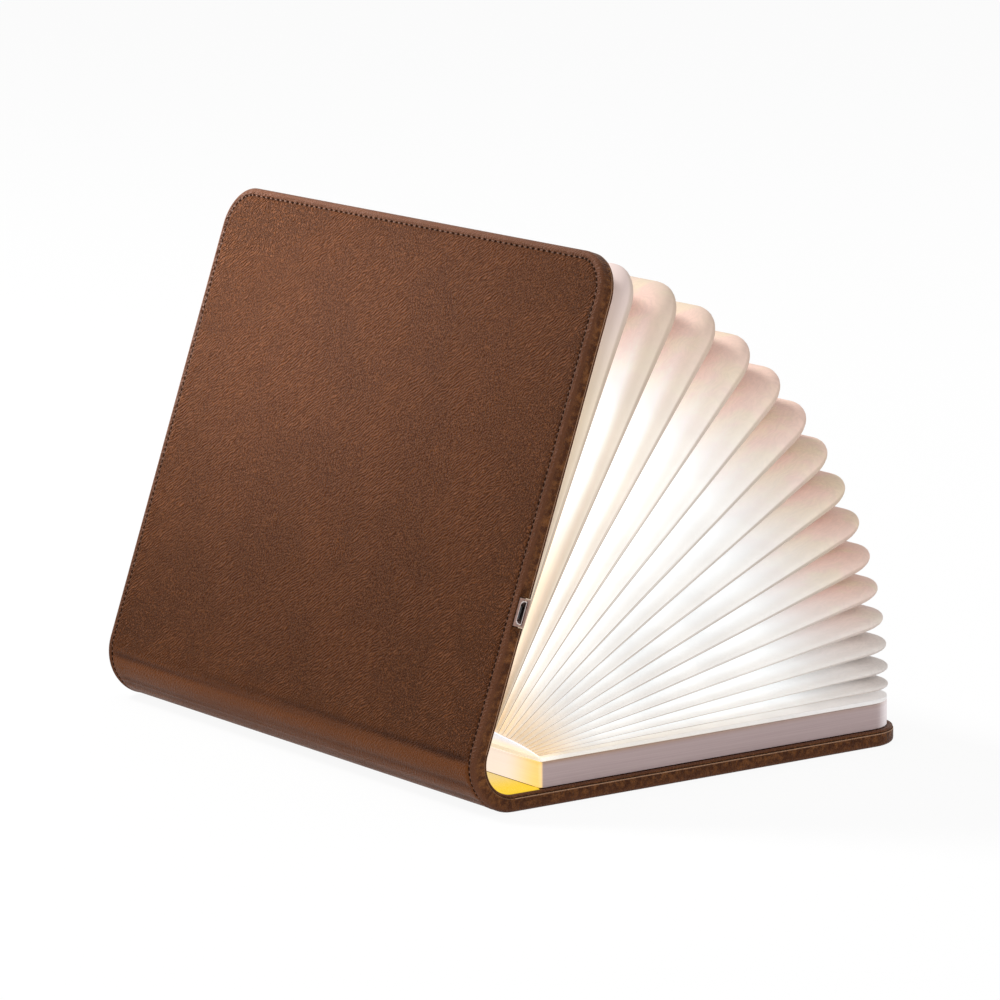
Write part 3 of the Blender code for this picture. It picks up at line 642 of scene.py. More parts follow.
def edge_profile(inner):
    """Insets and depths from the seam over the turned edge to the flat of the cover."""
    seam, rounding, step = edge_sizes(inner)
    places = [(step + TUCK, seam), (step, seam - TUCK), (step, seam - RAW_BAND)]
    places.append((step, rounding * 1.05))
    for i in range(ROUND_STEPS + 1):
        turn = math.pi / 2 * i / ROUND_STEPS
        places.append((step + rounding * (1 - math.cos(turn)), rounding * (1 - math.sin(turn))))
    near_trough = STITCH_INSET - TROUGH_HALF
    places.append((near_trough - 0.3 * MM, -EDGE_SWELL))
    for share in (-1, -0.5, 0, 0.5, 1):
        depth = STITCH_TROUGH * math.cos(share * math.pi / 2) ** 2
        places.append((STITCH_INSET + share * TROUGH_HALF, depth))
    places.append((STITCH_INSET + TROUGH_HALF + 0.8 * MM, -EDGE_SWELL))
    places.append((STITCH_INSET + TROUGH_HALF + 4 * MM, 0))
    places.append((CORNER_RADIUS, 0))
    return places


def open_outline(inset):
    """Points from the spine along one side, round the fore-edge and back along the other."""
    half, far = HALF_LENGTH - inset, REACH - inset
    radius = max(CORNER_RADIUS - inset, EDGE_ROUNDING)
    points = [(half, (far - radius) * i / SIDE_STEPS) for i in range(SIDE_STEPS)]
    for centre, start in ((half - radius, 0), (-half + radius, math.pi / 2)):
        for i in range(CORNER_STEPS + 1):
            turn = start + math.pi / 2 * i / CORNER_STEPS
            x = centre + radius * math.cos(turn)
            points.append((x, far - radius + radius * math.sin(turn)))
    points += [(-x, u) for x, u in reversed(points[:SIDE_STEPS])]
    return points


print("edge drawn in", len(edge_profile(False)), "outlines of", len(open_outline(0)), "points")


# %% Skins of the covers
def skin_facts(depth, inset, inner):
    """How far a point is on the turned edge, on the raw edge with its painted highlight,
    and outside the stitches.
    """
    seam, rounding, _ = edge_sizes(inner)
    turned = clamp((depth - rounding / 2) / rounding)
    rim = clamp((STITCH_INSET - inset) / TROUGH_HALF)
    if inner:
        # The lining's wall counts from 1 to 2, where it is painted dark as shade.
        return 2 * turned, 0.0, rim
    return turned, 1.0 if depth > seam - RAW_BAND * 0.9 else 0.0, rim


def add_cover_facts(facts, side, x, u, depth, inset, inner):
    """Adds the facts of one point of a cover's skin."""
    turned, raw, rim = skin_facts(depth, inset, inner)
    w = THICKNESS - depth if inner else depth
    place = (x, -u, w) if side == "back" else (-x, u + SPINE_RADIUS * SPINE_ARC, w)
    add_facts(facts, hide_place=place, smoothing=rim * RIM_SMOOTHING, crease=0.0,
              turned_edge=turned, raw_edge=raw, rim=rim)


def cover_skin(name, side, inner):
    matrix = COVER_FRAMES[side]
    facts = defaultdict(list)
    rows = []
    for inset, depth in edge_profile(inner):
        row = []
        for x, u in open_outline(inset):
            w = THICKNESS - depth if inner else depth
            row.append(matrix @ Vector((x, u, w)))
            add_cover_facts(facts, side, x, u, depth, inset, inner)
        rows.append(row)
    outward = matrix.to_3x3() @ Vector((0, 0, 1 if inner else -1))
    skin = sheet(name, rows, brown_hide, SKIN_THICKNESS, outward, facts, cap=True)
    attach(skin, f"{side}_cover")
    return skin


skins = {}
for cover_side in ("back", "front"):
    skins[cover_side] = (
        cover_skin(f"{cover_side}_cover_skin", cover_side, False),
        cover_skin(f"{cover_side}_cover_lining", cover_side, True),
    )
    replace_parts(skins[cover_side][0], f"{cover_side}_leather")
    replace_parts(skins[cover_side][1], f"{cover_side}_lining")
print("cover skins:", [skin.name for pair in skins.values() for skin in pair])

# %% [markdown]
# The charging socket sits in the tail edge of the front cover, and both leather layers are cut
# away round its metal surround. The surround is a solid of the frame, so the hole is that solid's
# own box with a hair of room, taken out with a Boolean. The cut makes new points, which are given
# their facts from where they lie, so that the colour runs on up to the cut.

# %% Notch for the charging socket
NOTCH_ROOM = 0.25 * MM
NOTCH_OVERRUN = 1.5 * MM
CUT_REACH = 0.01 * MM


def mark_cut(skin, inner, low, high):
    """Gives their facts to the points that lie on the cut planes."""
    to_cover = COVER_FRAMES["front"].inverted()
    for vertex in skin.data.vertices:
        x, u, w = to_cover @ vertex.co
        if x > low.x and min(abs(u - low.y), abs(u - high.y), abs(w - low.z)) < CUT_REACH:
            facts = defaultdict(list)
            depth = THICKNESS - w if inner else w
            add_cover_facts(facts, "front", x, u, depth, HALF_LENGTH - x, inner)
            for name, values in facts.items():
                field = "vector" if name.endswith("_place") else "value"
                setattr(skin.data.attributes[name].data[vertex.index], field, values[0])


def cut_socket_notch(skin, inner):
    to_cover = COVER_FRAMES["front"].inverted()
    corners = [to_cover @ vertex.co for vertex in frame["nodes"]["port_bezel"].data.vertices]
    low, high = (Vector([end(axis) for axis in zip(*corners)]) for end in (min, max))
    low -= Vector((NOTCH_OVERRUN, NOTCH_ROOM, NOTCH_ROOM))
    high += Vector((NOTCH_OVERRUN, NOTCH_ROOM, NOTCH_OVERRUN))
    bm = bmesh.new()
    bmesh.ops.create_cube(bm, size=1)
    size = high - low
    placed = Matrix.Translation((low + high) / 2) @ Matrix.Diagonal((*size, 1))
    bmesh.ops.transform(bm, matrix=COVER_FRAMES["front"] @ placed, verts=bm.verts)
    mesh = bpy.data.meshes.new("notch_cutter")
    bm.to_mesh(mesh)
    bm.free()
    cutter = new_object("notch_cutter", mesh)
    modifier = skin.modifiers.new("notch", "BOOLEAN")
    modifier.operation = "DIFFERENCE"
    modifier.solver = "EXACT"
    modifier.use_self = True
    modifier.object = cutter
    apply_modifiers(skin)
    bpy.data.objects.remove(cutter, do_unlink=True)
    mark_cut(skin, inner, low, high)


for skin, inner in zip(skins["front"], (False, True)):
    cut_socket_notch(skin, inner)
print("notch cut in", [skin.name for skin in skins["front"]])

# %% [markdown]
# The spine is the same leather without a board, so it bends. It crosses both hinges, and a piece
# can bend over one joint only, so it is made in two halves that meet in the middle of the arc.
# Each point gets its own share of the bend by how far it lies round the arc. The leather has two
# creases on each side, where it folds every time that the book is opened. They drift away from the
# cover towards the head, and run out a few millimetres before the head and the tail. Beyond the
# first crease the leather is worn smooth.

# %% Creases and bend of the spine
CREASES = ((3.4 * MM, 0.55 * MM), (12.1 * MM, 0.35 * MM))
CREASE_HALF = 1.2 * MM
CREASE_START = 1.8 * MM
CREASE_RUN = 3.5 * MM
CREASE_DRIFT = 2.1 * MM
LINING_CREASE = 0.4
WORN_SMOOTHING = 0.85
# Share of the cut edge's pale tan and painted highlight that stays on the spine.
SPINE_EDGE_HIGHLIGHT = 0.25
SPINE_STEPS = 30


def crease_depth(travel, x):
    """Depth of the creases at a point, by its way round the arc and its place along the spine."""
    total = 0.0
    drift = CREASE_DRIFT * smooth(-x / HALF_LENGTH * 1.6)
    for place, depth in CREASES:
        away = (travel - place - drift) / CREASE_HALF
        total += depth * math.exp(-away * away)
    return total * clamp((HALF_LENGTH - abs(x) - CREASE_START) / CREASE_RUN)


def bend_share(turn, side):
    """How far a point has gone over from the one body to the other, from 0 to 1."""
    half = SPINE_ARC / 2
    return smooth(turn / half if side == "back" else (turn - half) / half)


def set_bend(obj, side, shares):
    """Bakes the object's transform into its mesh.
    The share for each point, worked out round the arc, is not used.
    """
    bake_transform(obj)
    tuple(BACK_AXIS)
    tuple(FRONT_AXIS)


def shares_of(obj, name="bend"):
    return [point.value for point in obj.data.attributes[name].data]


print("deepest crease", round(crease_depth(CREASES[0][0], 0) / MM, 2), "mm")


# %% Spine
def spine_sheet(name, side, inner):
    half = SPINE_ARC / 2
    start = 0 if side == "back" else half
    columns = [(HALF_LENGTH - inset, depth) for inset, depth in edge_profile(inner)]
    columns += [(-x, depth) for x, depth in reversed(columns)]
    facts = defaultdict(list)
    rows = []
    for i in range(SPINE_STEPS + 1):
        turn = start + half * i / SPINE_STEPS
        travel = SPINE_RADIUS * min(turn, SPINE_ARC - turn)
        worn = clamp((travel - 2 * MM) / (3 * MM))
        row = []
        for x, depth in columns:
            turned, raw, rim = skin_facts(depth, HALF_LENGTH - abs(x), inner)
            sunk = crease_depth(travel, x)
            w = THICKNESS - depth - sunk * LINING_CREASE if inner else depth + sunk
            row.append(spine_place(SPINE_RADIUS - w, turn, x))
            add_facts(
                facts, hide_place=(x, SPINE_RADIUS * turn, w),
                smoothing=max(WORN_SMOOTHING * worn, rim * RIM_SMOOTHING),
                crease=min(1, sunk / CREASES[0][1]), turned_edge=turned,
                raw_edge=raw * SPINE_EDGE_HIGHLIGHT, rim=rim, bend=bend_share(turn, side),
            )
        rows.append(row)
    middle = start + half / 2
    outward = Vector((0, -math.sin(middle), -math.cos(middle))) * (-1 if inner else 1)
    piece = sheet(name, rows, brown_hide, SKIN_THICKNESS, outward, facts)
    set_bend(piece, side, shares_of(piece))
    return piece


for spine_side in ("back", "front"):
    outer_half = spine_sheet(f"spine_skin_{spine_side}", spine_side, False)
    inner_half = spine_sheet(f"spine_lining_{spine_side}", spine_side, True)
    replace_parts(outer_half, "spine_leather")
    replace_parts(inner_half, "spine_lining")
print("spine in two halves, with", len(CREASES), "creases on each side")

# %% [markdown]
# The stitches are real thread, not a drawn line. A stitch is a short bead of thread that dips into
# a hole at either end. The holes are small ovals in the trough, painted dark as the shade inside a
# hole. The row follows the free edges of each cover, and runs on round the ends of the spine.

# %% Thread
THREAD_WIDTH = 0.48 * MM
THREAD_HEIGHT = 0.30 * MM
THREAD_LENGTH_SHARE = 0.36
HOLE_HALF_WIDTH = 0.42 * MM
HOLE_HALF_LENGTH = 0.55 * MM
HOLE_LIFT = 0.23 * MM
HOLE_DEPTH = 0.3 * MM
SIDE_PITCH = 1.95 * MM
FORE_PITCH = 2.9 * MM
THREAD_DARK, THREAD_BROWN = (0.132, 0.0715, 0.0495, 1), (0.24, 0.13, 0.09, 1)
# The holes are dark plugs: painted shade for the inside of a stitch hole.
HOLE_SHADE_BLACK, HOLE_SHADE_BROWN = (0.012, 0.006, 0.004, 1), (0.036, 0.018, 0.012, 1)


def sewn_finish(name, roughness, scale, dark, light, specular, twist=0.0):
    """Two close colours in fine patches. They also raise the surface where it's twisted."""
    material, tree, shader = new_finish(name, roughness)
    patches = cloud(tree, own_place(tree), scale, 2.0)
    finish(tree, shader, Base_Color=blend_colours(tree, patches, dark, light),
           Specular_IOR_Level=specular)
    if twist:
        raise_surface(tree, shader, patches, 0.08 * MM, twist)
    return material


waxed_thread = sewn_finish("waxed_thread", 0.55, 2.4 / MM, THREAD_DARK, THREAD_BROWN, 0.15, 0.7)
# Dark plugs in the stitch holes: painted shade.
stitch_hole_shade = sewn_finish("stitch_hole_shade", 0.9, 0.9 / MM, HOLE_SHADE_BLACK, HOLE_SHADE_BROWN, 0.0)
print("thread ready:", waxed_thread.name, stitch_hole_shade.name)


# %% One stitch and one hole
def steps_round(count):
    return [2 * math.pi * i / count for i in range(count)]


def add_rings(points, faces, rings):
    """A closed skin over rings of points that follow one another."""
    first, size = len(points), len(rings[0])
    for ring in rings:
        points += ring
    for k in range(len(rings) - 1):
        for i in range(size):
            a, b = first + k * size + i, first + k * size + (i + 1) % size
            faces.append((a, b, b + size, a + size))
    faces.append(tuple(range(first, first + size)))
    faces.append(tuple(range(len(points) - size, len(points))))


def add_bead(points, faces, place, ahead, out, length):
    """One stitch: a bead of thread that is widest in its middle and dips at its ends."""
    side = ahead.cross(out) * THREAD_WIDTH / 2
    up = out * THREAD_HEIGHT / 2
    round_way = [side * math.cos(turn) + up * math.sin(turn) for turn in steps_round(6)]
    rings = []
    for step, size in ((-1, 0.35), (-0.6, 0.9), (0, 1), (0.6, 0.9), (1, 0.35)):
        centre = place + ahead * step * length / 2 + up * (size - 0.5) * 1.2
        rings.append([centre + point * size for point in round_way])
    add_rings(points, faces, rings)


def add_hole(points, faces, place, ahead, out):
    """A hole: an oval plug painted dark as its shade, which fills the trough about half-way up."""
    side, on = ahead.cross(out) * HOLE_HALF_WIDTH, ahead * HOLE_HALF_LENGTH
    oval = [side * math.cos(turn) + on * math.sin(turn) for turn in steps_round(8)]
    lifts = (HOLE_LIFT, HOLE_LIFT - HOLE_DEPTH)
    add_rings(points, faces, [[place + out * lift + point for point in oval] for lift in lifts])


# %% Rows of stitches
def stitch_mesh(name, stitches, maker, material):
    points, faces, owners = [], [], []
    for number, stitch in enumerate(stitches):
        before = len(points)
        maker(points, faces, *stitch)
        owners += [number] * (len(points) - before)
    mesh = bpy.data.meshes.new(name)
    mesh.from_pydata(points, [], faces)
    bm = bmesh.new()
    bm.from_mesh(mesh)
    bmesh.ops.recalc_face_normals(bm, faces=bm.faces)
    bm.to_mesh(mesh)
    bm.free()
    mesh.shade_smooth()
    mesh.set_sharp_from_angle(angle=SMOOTH_ANGLE)
    return new_object(name, mesh, material), owners


def sew(thread_name, holes_name, stitches):
    """The thread and the holes of a row, each with the stitch that every point belongs to."""
    beads, holes = [], []
    for place, ahead, out, pitch in stitches:
        beads.append((place, ahead, out, pitch * THREAD_LENGTH_SHARE))
        holes.append((place + ahead * pitch / 2, ahead, out))
    yield stitch_mesh(thread_name, beads, add_bead, waxed_thread)
    yield stitch_mesh(holes_name, holes, add_hole, stitch_hole_shade)


def cover_path():
    """Even steps along the row of stitches of a cover, each with its direction and pitch."""
    radius = CORNER_RADIUS - STITCH_INSET
    half, far = HALF_LENGTH - STITCH_INSET, REACH - STITCH_INSET
    side, fore = (far - radius, SIDE_PITCH, 0), (2 * (half - radius), FORE_PITCH, 0)
    corner = (math.pi / 2 * radius, SIDE_PITCH, 1 / radius)
    start, heading = Vector((half, 0, 0)), math.pi / 2
    for length, wanted, curve in (side, corner, fore, corner, side):
        count = round(length / wanted)
        for i in range(2 * count + 1):
            travel = i * length / count / 2
            turn = heading + travel * curve
            ahead = Vector((math.cos(turn), math.sin(turn), 0))
            place = start + ahead * travel
            if curve:
                centre = start + Vector((-math.sin(heading), math.cos(heading), 0)) * radius
                place = centre + Vector((math.sin(turn), -math.cos(turn), 0)) * radius
            if i % 2:
                yield place, ahead, length / count
        start, heading = place, turn


def stitch_cover(side):
    matrix = COVER_FRAMES[side]
    turned = matrix.to_3x3()
    out = turned @ Vector((0, 0, -1))
    sunk = Vector((0, 0, STITCH_TROUGH))
    stitches = []
    for place, ahead, pitch in cover_path():
        stitches.append((matrix @ (place + sunk), turned @ ahead, out, pitch))
    for row, _ in sew(f"{side}_cover_thread", f"{side}_cover_hole_shade", stitches):
        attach(row, f"{side}_cover")
    return len(stitches)


def stitch_spine(side):
    half = SPINE_ARC / 2
    start = 0 if side == "back" else half
    count = round(half * SPINE_RADIUS / SIDE_PITCH)
    turns = [start + half * (i + 0.5) / count for i in range(count)] * 2
    stitches = []
    for number, turn in enumerate(turns):
        x = (HALF_LENGTH - STITCH_INSET) * (1 if number < count else -1)
        travel = SPINE_RADIUS * min(turn, SPINE_ARC - turn)
        place = spine_place(SPINE_RADIUS - STITCH_TROUGH - crease_depth(travel, x), turn, x)
        ahead = Vector((0, -math.cos(turn), math.sin(turn)))
        out = Vector((0, -math.sin(turn), -math.cos(turn)))
        stitches.append((place, ahead, out, half * SPINE_RADIUS / count))
    for row, owners in sew(f"spine_thread_{side}", f"spine_hole_shade_{side}", stitches):
        set_bend(row, side, [bend_share(turns[owner], side) for owner in owners])
    return len(stitches)


stitch_count = sum(stitch_cover(side) + stitch_spine(side) for side in ("back", "front"))
print("stitches:", stitch_count)

# %% [markdown]
# The bellows is one long strip of thin white paper, folded to and fro between ridges at the page
# edge and valleys further in. Each ridge has its share of the opening angle, which its joint in the
# frame gives. Between a ridge and a valley the paper isn't flat: it swells away from the pleat's
# plane, which gives the petals their round look. A point is therefore drawn on the straight line
# from ridge to valley and then lifted by a power of the way that it has gone.

# %% Shares of the pleats
LEAF_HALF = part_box("page_tray")[1].x
TRAY_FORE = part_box("page_tray")[1].y - BOOK_Y
TRAY_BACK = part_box("page_tray")[0].y - BOOK_Y
TRAY_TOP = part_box("page_tray")[1].z
TRAY_CORNER = 12 * MM
BASE_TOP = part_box("base_leaf")[1].z
HINGE_INSET = BACK_AXIS.z
HINGE_SPACING = hinge_line.length
CLOSED_THICKNESS = HINGE_SPACING + 2 * HINGE_INSET
PAPER_FIT = 0.5 * MM
FRONT_LEAF_TOP = THICKNESS + 0.6 * MM
STACK_LOW = BASE_TOP + PAPER_FIT
STACK_HIGH = CLOSED_THICKNESS - FRONT_LEAF_TOP - 0.2 * MM
PLEAT_DEPTH = 14 * MM
VALLEY_CORNER = 4 * MM
LEAF_SPRING = 4.8 * MM
SPRING_POWER = 0.6
LEAF_TAPER = 2.9 * MM


def ridge_shares():
    """Each pleat's share of the opening angle, from the front cover to the back cover."""
    folds = [joint for joint in frame["joints"] if joint["name"].startswith("pleat_")]
    places = [Vector(joint["pos_m"]) for joint in sorted(folds, key=lambda joint: joint["name"])]
    return [(place - BACK_AXIS).length / HINGE_SPACING for place in places]


RIDGES = ridge_shares()
VALLEYS = [1] + [(a + b) / 2 for a, b in zip(RIDGES, RIDGES[1:])] + [0]
print("pleats:", len(RIDGES), "from share", round(RIDGES[0], 3), "to", round(RIDGES[-1], 3))

# %% [markdown]
# Three numbers give any place in the bellows: a share round the fan, x along the spine, and how far
# it reaches out. A leaf turns about its own axis between the two hinges, and keeps the distance
# from it that it has in the stack of the closed book. So the same rule gives the open fan and the
# closed block. The middle leaves spring out a little beyond the covers' ends.

# %% Places on a pleat
TAIL_STEPS = 12
PAGE_CORNER_STEPS = 10
FORE_STEPS = 8


def leaf_point(share, x, reach):
    stacked = STACK_LOW + (STACK_HIGH - STACK_LOW) * share
    offset = stacked - (HINGE_INSET + HINGE_SPACING * share)
    axis = BACK_AXIS.lerp(FRONT_AXIS, share)
    angle = OPENING * share
    return axis + along(angle) * reach + across(angle) * offset + Vector((x, 0, 0))


def leaf_reach(share):
    spring = LEAF_SPRING * max(0, math.sin(math.pi * share)) ** SPRING_POWER
    return TRAY_FORE + BOOK_Y - BACK_AXIS.y + spring


def leaf_half(share):
    """The leaves narrow a little towards the front cover."""
    return LEAF_HALF - LEAF_TAPER * share


def root_reach(share):
    at_tray = TRAY_BACK + BOOK_Y - BACK_AXIS.y
    return at_tray + (FRONT_ROOT - at_tray) * share


def fold_places(share, inset, radius):
    """Places x and reach of a fold, from the root at the tail round to the root at the head."""
    half, far, root = leaf_half(share) - inset, leaf_reach(share) - inset, root_reach(share)
    side = far - radius - root
    places = [(half, root + side * i / TAIL_STEPS) for i in range(TAIL_STEPS)]
    for i in range(PAGE_CORNER_STEPS + 1):
        turn = math.pi / 2 * i / PAGE_CORNER_STEPS
        x = half - radius + radius * math.cos(turn)
        places.append((x, far - radius + radius * math.sin(turn)))
    flat = half - radius
    places += [(flat * (1 - i / FORE_STEPS), far) for i in range(1, FORE_STEPS + 1)]
    return places + [(-x, reach) for x, reach in reversed(places[:-1])]


def fold_points(share, inset, radius):
    return [leaf_point(share, x, reach) for x, reach in fold_places(share, inset, radius)]


print("a fold has", len(fold_places(0, 0, TRAY_CORNER)), "points")

# %% [markdown]
# The paper glows because light comes through it, and the glow is painted light that the paper
# emits. Its brightness falls from the root, where the lamps are, to the fore-edge, and from deep
# between the pleats to the ridges, where the paper turns away from the lamps: there the glow turns
# cream and the paper is painted tan, as shade. The tips are painted pink and straw, as shade,
# darkest at the outer rim. Towards the front cover the pleats are brighter inside and duller at
# their ridges, and the sheet beside the cover itself is painted a dull sand colour, as the cover's
# shade. The far side of each ridge is painted darkest, as shade, which draws the line between one
# pleat and the next, and near the root a thin dark line of painted shade runs along each ridge.
# Each point keeps four numbers for that: how far out along the page it lies, how deep between the
# pleats, whether it is behind its ridge, and its share round the fan. The finish turns them into
# colour and light.

# %% Fibres of the paper
def make_fibre_group():
    """Fine long fibres and soft clouds, as in thin paper held against light."""
    group, inward, outward = new_group(
        "paper_fibres", [("Place", "place", (0, 0, 0))], [("Fibres", "value"), ("Clouds", "value")]
    )
    place = inward.outputs["Place"]
    bent = shifted(group, place, 0.12 / MM, 2.0, 6 * MM)
    drawn = stretched(group, bent, (1.4 / MM, 0.25 / MM, 1.4 / MM), (0, 0, 0.4))
    group.links.new(cloud(group, drawn, 1.0, 3.0), outward.inputs["Fibres"])
    group.links.new(cloud(group, place, 0.07 / MM, 3.0), outward.inputs["Clouds"])
    return group


paper_fibres = make_fibre_group()
print("fibres ready:", paper_fibres.name)

# %% Paper
PAPER_BEIGE = (0.70, 0.68, 0.67, 1)
# Pink, pale and straw of the tips: painted shade, where less light comes through.
TIP_SHADE_PINK = (0.86, 0.60, 0.50, 1)
TIP_SHADE_PALE = (0.80, 0.73, 0.69, 1)
# Lavender and sand of the sheet beside the front cover: painted shade of the cover.
COVER_SHADE_LAVENDER = (0.78, 0.63, 0.59, 1)
COVER_SHADE_SAND = (0.80, 0.68, 0.54, 1)
# Tan towards the ridges near the front cover: painted shade.
RIDGE_SHADE_TAN = (0.66, 0.55, 0.44, 1)
# Straw patches in the painted shade of the tips.
TIP_SHADE_STRAW = (0.82, 0.65, 0.47, 1)
# Far side of each ridge: painted shade.
BEHIND_RIDGE_SHADE = (0.42, 0.31, 0.23, 1)
# Thin dark line along each ridge near the root: painted shade.
RIDGE_SHADE_LINE = (0.36, 0.27, 0.21, 1)
GLOW_WHITE = (0.90, 0.97, 1.0, 1)
GLOW_CREAM = (1.0, 0.82, 0.60, 1)
GLOW_ROOT = (1.0, 0.66, 0.26, 1)
GLOW_STRENGTH = 0.46


def make_bellows_paper():
    material, tree, shader = new_finish("lit_paper", 0.75)
    reach, depth, fan = fact(tree, "reach"), fact(tree, "depth"), fact(tree, "fan")
    paper = use_group(tree, paper_fibres, Place=fact(tree, "paper_place", "Vector"))
    fibres, clouds = paper.outputs["Fibres"], paper.outputs["Clouds"]
    near_ridge = ease(tree, depth, 0.0, 0.32, 1.0, 0.0)
    towards_front = ease(tree, fan, 0.55, 0.97)
    at_tip = ease(tree, reach, 0.66, 0.98)
    on_line = ease(tree, depth, 0.0012, 0.0036, 1.0, 0.0)
    on_line = times(tree, on_line, ease(tree, reach, 0.25, 0.7, 0.9, 0.0))
    behind = times(
        tree,
        fact(tree, "behind"),
        ease(tree, depth, 0.02, 0.4, 1.0, 0.2),
        ease(tree, reach, 0.75, 1.0, 0.65, 0.35),
        ease(tree, fan, 0.05, 0.3, 0.5, 1.0),
    )
    near_root = ease(tree, reach, 0.3, 0.62, 0.7, 0.0)
    beside_cover = times(tree, ease(tree, fan, 0.82, 0.88), near_root)
    beside_cover = maths(tree, "MAXIMUM", beside_cover, ease(tree, fan, 0.92, 0.96))

    # Tips: painted shade in pink and straw, paler near the tray and darker at the outer rim.
    tip = blend_colours(tree, ease(tree, clouds, 0.47, 0.66), TIP_SHADE_PINK, TIP_SHADE_STRAW)
    tip = blend_colours(tree, ease(tree, fan, 0.05, 0.24, 1.0, 0.0), tip, TIP_SHADE_PALE)
    rimmed = ease(tree, reach, 0.88, 1.0, 1.0, 0.9)
    tip = shade(tree, tip, times(tree, rimmed, ease(tree, fibres, 0.3, 0.7, 0.94, 1.04)))
    colour = PAPER_BEIGE
    # Layers of painted shade: the tips, tan towards the ridges, sand and lavender beside the front
    # cover, the far side of each ridge, and a dark line on the ridges near the root.
    for share, layer in (
        (at_tip, tip),
        (times(tree, near_ridge, towards_front, 0.7), RIDGE_SHADE_TAN),
        (beside_cover, COVER_SHADE_SAND),
        (times(tree, beside_cover, at_tip), COVER_SHADE_LAVENDER),
        (behind, BEHIND_RIDGE_SHADE),
        (on_line, RIDGE_SHADE_LINE),
    ):
        colour = blend_colours(tree, share, colour, layer)

    dulled = times(tree, near_ridge, ease(tree, towards_front, 0.0, 1.0, 0.08, 0.6))
    glow = times(
        tree,
        ease(tree, reach, 0.6, 1.0, 1.0, 0.1),
        rest(tree, dulled),
        ease(tree, clouds, 0.25, 0.75, 0.9, 1.1),
        ease(tree, fan, 0.4, 0.9, 0.86, 1.5),
        rest(tree, beside_cover, 0.45),
        rest(tree, behind),
        rest(tree, on_line, 0.7),
    )
    creamy = times(tree, near_ridge, ease(tree, towards_front, 0.0, 1.0, 0.4, 1.0))
    creamy = maths(tree, "MAXIMUM", creamy, beside_cover)
    light = blend_colours(tree, creamy, GLOW_WHITE, GLOW_CREAM)
    light = blend_colours(tree, ease(tree, reach, 0.0, 0.16, 0.9, 0.0), light, GLOW_ROOT)
    finish(tree, shader, Base_Color=colour, Emission_Color=shade(tree, light, glow),
           Emission_Strength=GLOW_STRENGTH)
    raise_surface(tree, shader, maths(tree, "MULTIPLY_ADD", fibres, 0.5, clouds), 0.25 * MM, 0.4)
    return material


lit_paper = make_bellows_paper()
print("paper ready:", lit_paper.name)

# %% [markdown]
# A pleat is two walls that meet at a ridge, and all the walls join into one strip. Rows of points
# lie closer together towards a ridge, where the paper bends most. The strip crosses both hinges as
# the spine does, so it is parted half-way round the fan into two halves.

# %% Fold the bellows
PAPER_THICKNESS = 0.16 * MM
PILLOW_POWER = 0.42
COLUMNS = 10
COLUMN_POWER = 2.3


def pleat_rows(number, towards_front):
    """Rows from one ridge to its valley. Each entry is a point with its facts."""
    share, valley, opposite = RIDGES[number], VALLEYS[number], VALLEYS[number + 1]
    if not towards_front:
        valley, opposite = opposite, valley
    tips = fold_points(share, 0, TRAY_CORNER)
    places = fold_places(share, 0, TRAY_CORNER)
    near = fold_points(valley, PLEAT_DEPTH, VALLEY_CORNER)
    far = fold_points(opposite, PLEAT_DEPTH, VALLEY_CORNER)
    root, reach = root_reach(share), leaf_reach(share)
    rows = []
    for i in range(COLUMNS):
        way = (i / (COLUMNS - 1)) ** COLUMN_POWER
        lifted = way ** PILLOW_POWER
        fan = share + (valley - share) * lifted
        behind = 0.0 if towards_front or i == 0 else 1.0
        row = []
        for tip, here, there, (x, out) in zip(tips, near, far, places):
            point = tip.lerp((here + there) / 2, way) + (here - there) / 2 * lifted
            place = (x, out, number * 5 * MM + way * PLEAT_DEPTH)
            row.append((point, (out - root) / (reach - root), way, fan, place, behind))
        rows.append(row)
    return rows


def fold_strip():
    """Rows of the whole strip, from the front cover to the tray."""
    rows = []
    for number in range(len(RIDGES)):
        for towards_front in (True, False):
            wall = pleat_rows(number, towards_front)
            if towards_front:
                wall.reverse()
            rows += wall[1:] if rows else wall
    return rows


def fold_bellows(name, side, strip):
    """One half of the strip."""
    rows = [[entry[0] for entry in row] for row in strip]
    facts = zip(*(entry[1:] for row in strip for entry in row))
    facts = dict(zip(("reach", "depth", "fan", "paper_place", "behind"), facts))
    bellows = sheet(name, rows, lit_paper, PAPER_THICKNESS, Vector((1, 0, 0)), facts)
    start = 0 if side == "back" else 1
    set_bend(bellows, side, [clamp(2 * fan - start) for fan in shares_of(bellows, "fan")])
    return bellows


strip = fold_strip()
PARTING = min(range(len(strip)), key=lambda place: abs(strip[place][0][3] - 0.5))
strip[PARTING] = [(*entry[:3], 0.5, *entry[4:]) for entry in strip[PARTING]]
front_bellows = fold_bellows("front_bellows", "front", strip[: PARTING + 1])
back_bellows = fold_bellows("back_bellows", "back", strip[PARTING:])
for number, share in enumerate(RIDGES):
    piece = front_bellows if share > 0.5 else back_bellows
    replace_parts(piece, f"pleat_{number + 1:02d}")
print("bellows folded, parted at row", PARTING, "of", len(strip))

# %% [markdown]
# The liner is the strip of paper that closes the bellows towards the spine. It is lit from close by
# and looks bluish white. It bends with the spine, so it is made in two halves like the leather.

# %% Liner
LINER_STEPS = 12
LINER_GAP = 0.3 * MM
LINER_THICKNESS = 0.3 * MM
LINER_COLUMNS = 24
LINER_LIGHT = (0.60, 0.68, 0.86, 1)
LINER_WARM = (0.74, 0.70, 0.64, 1)


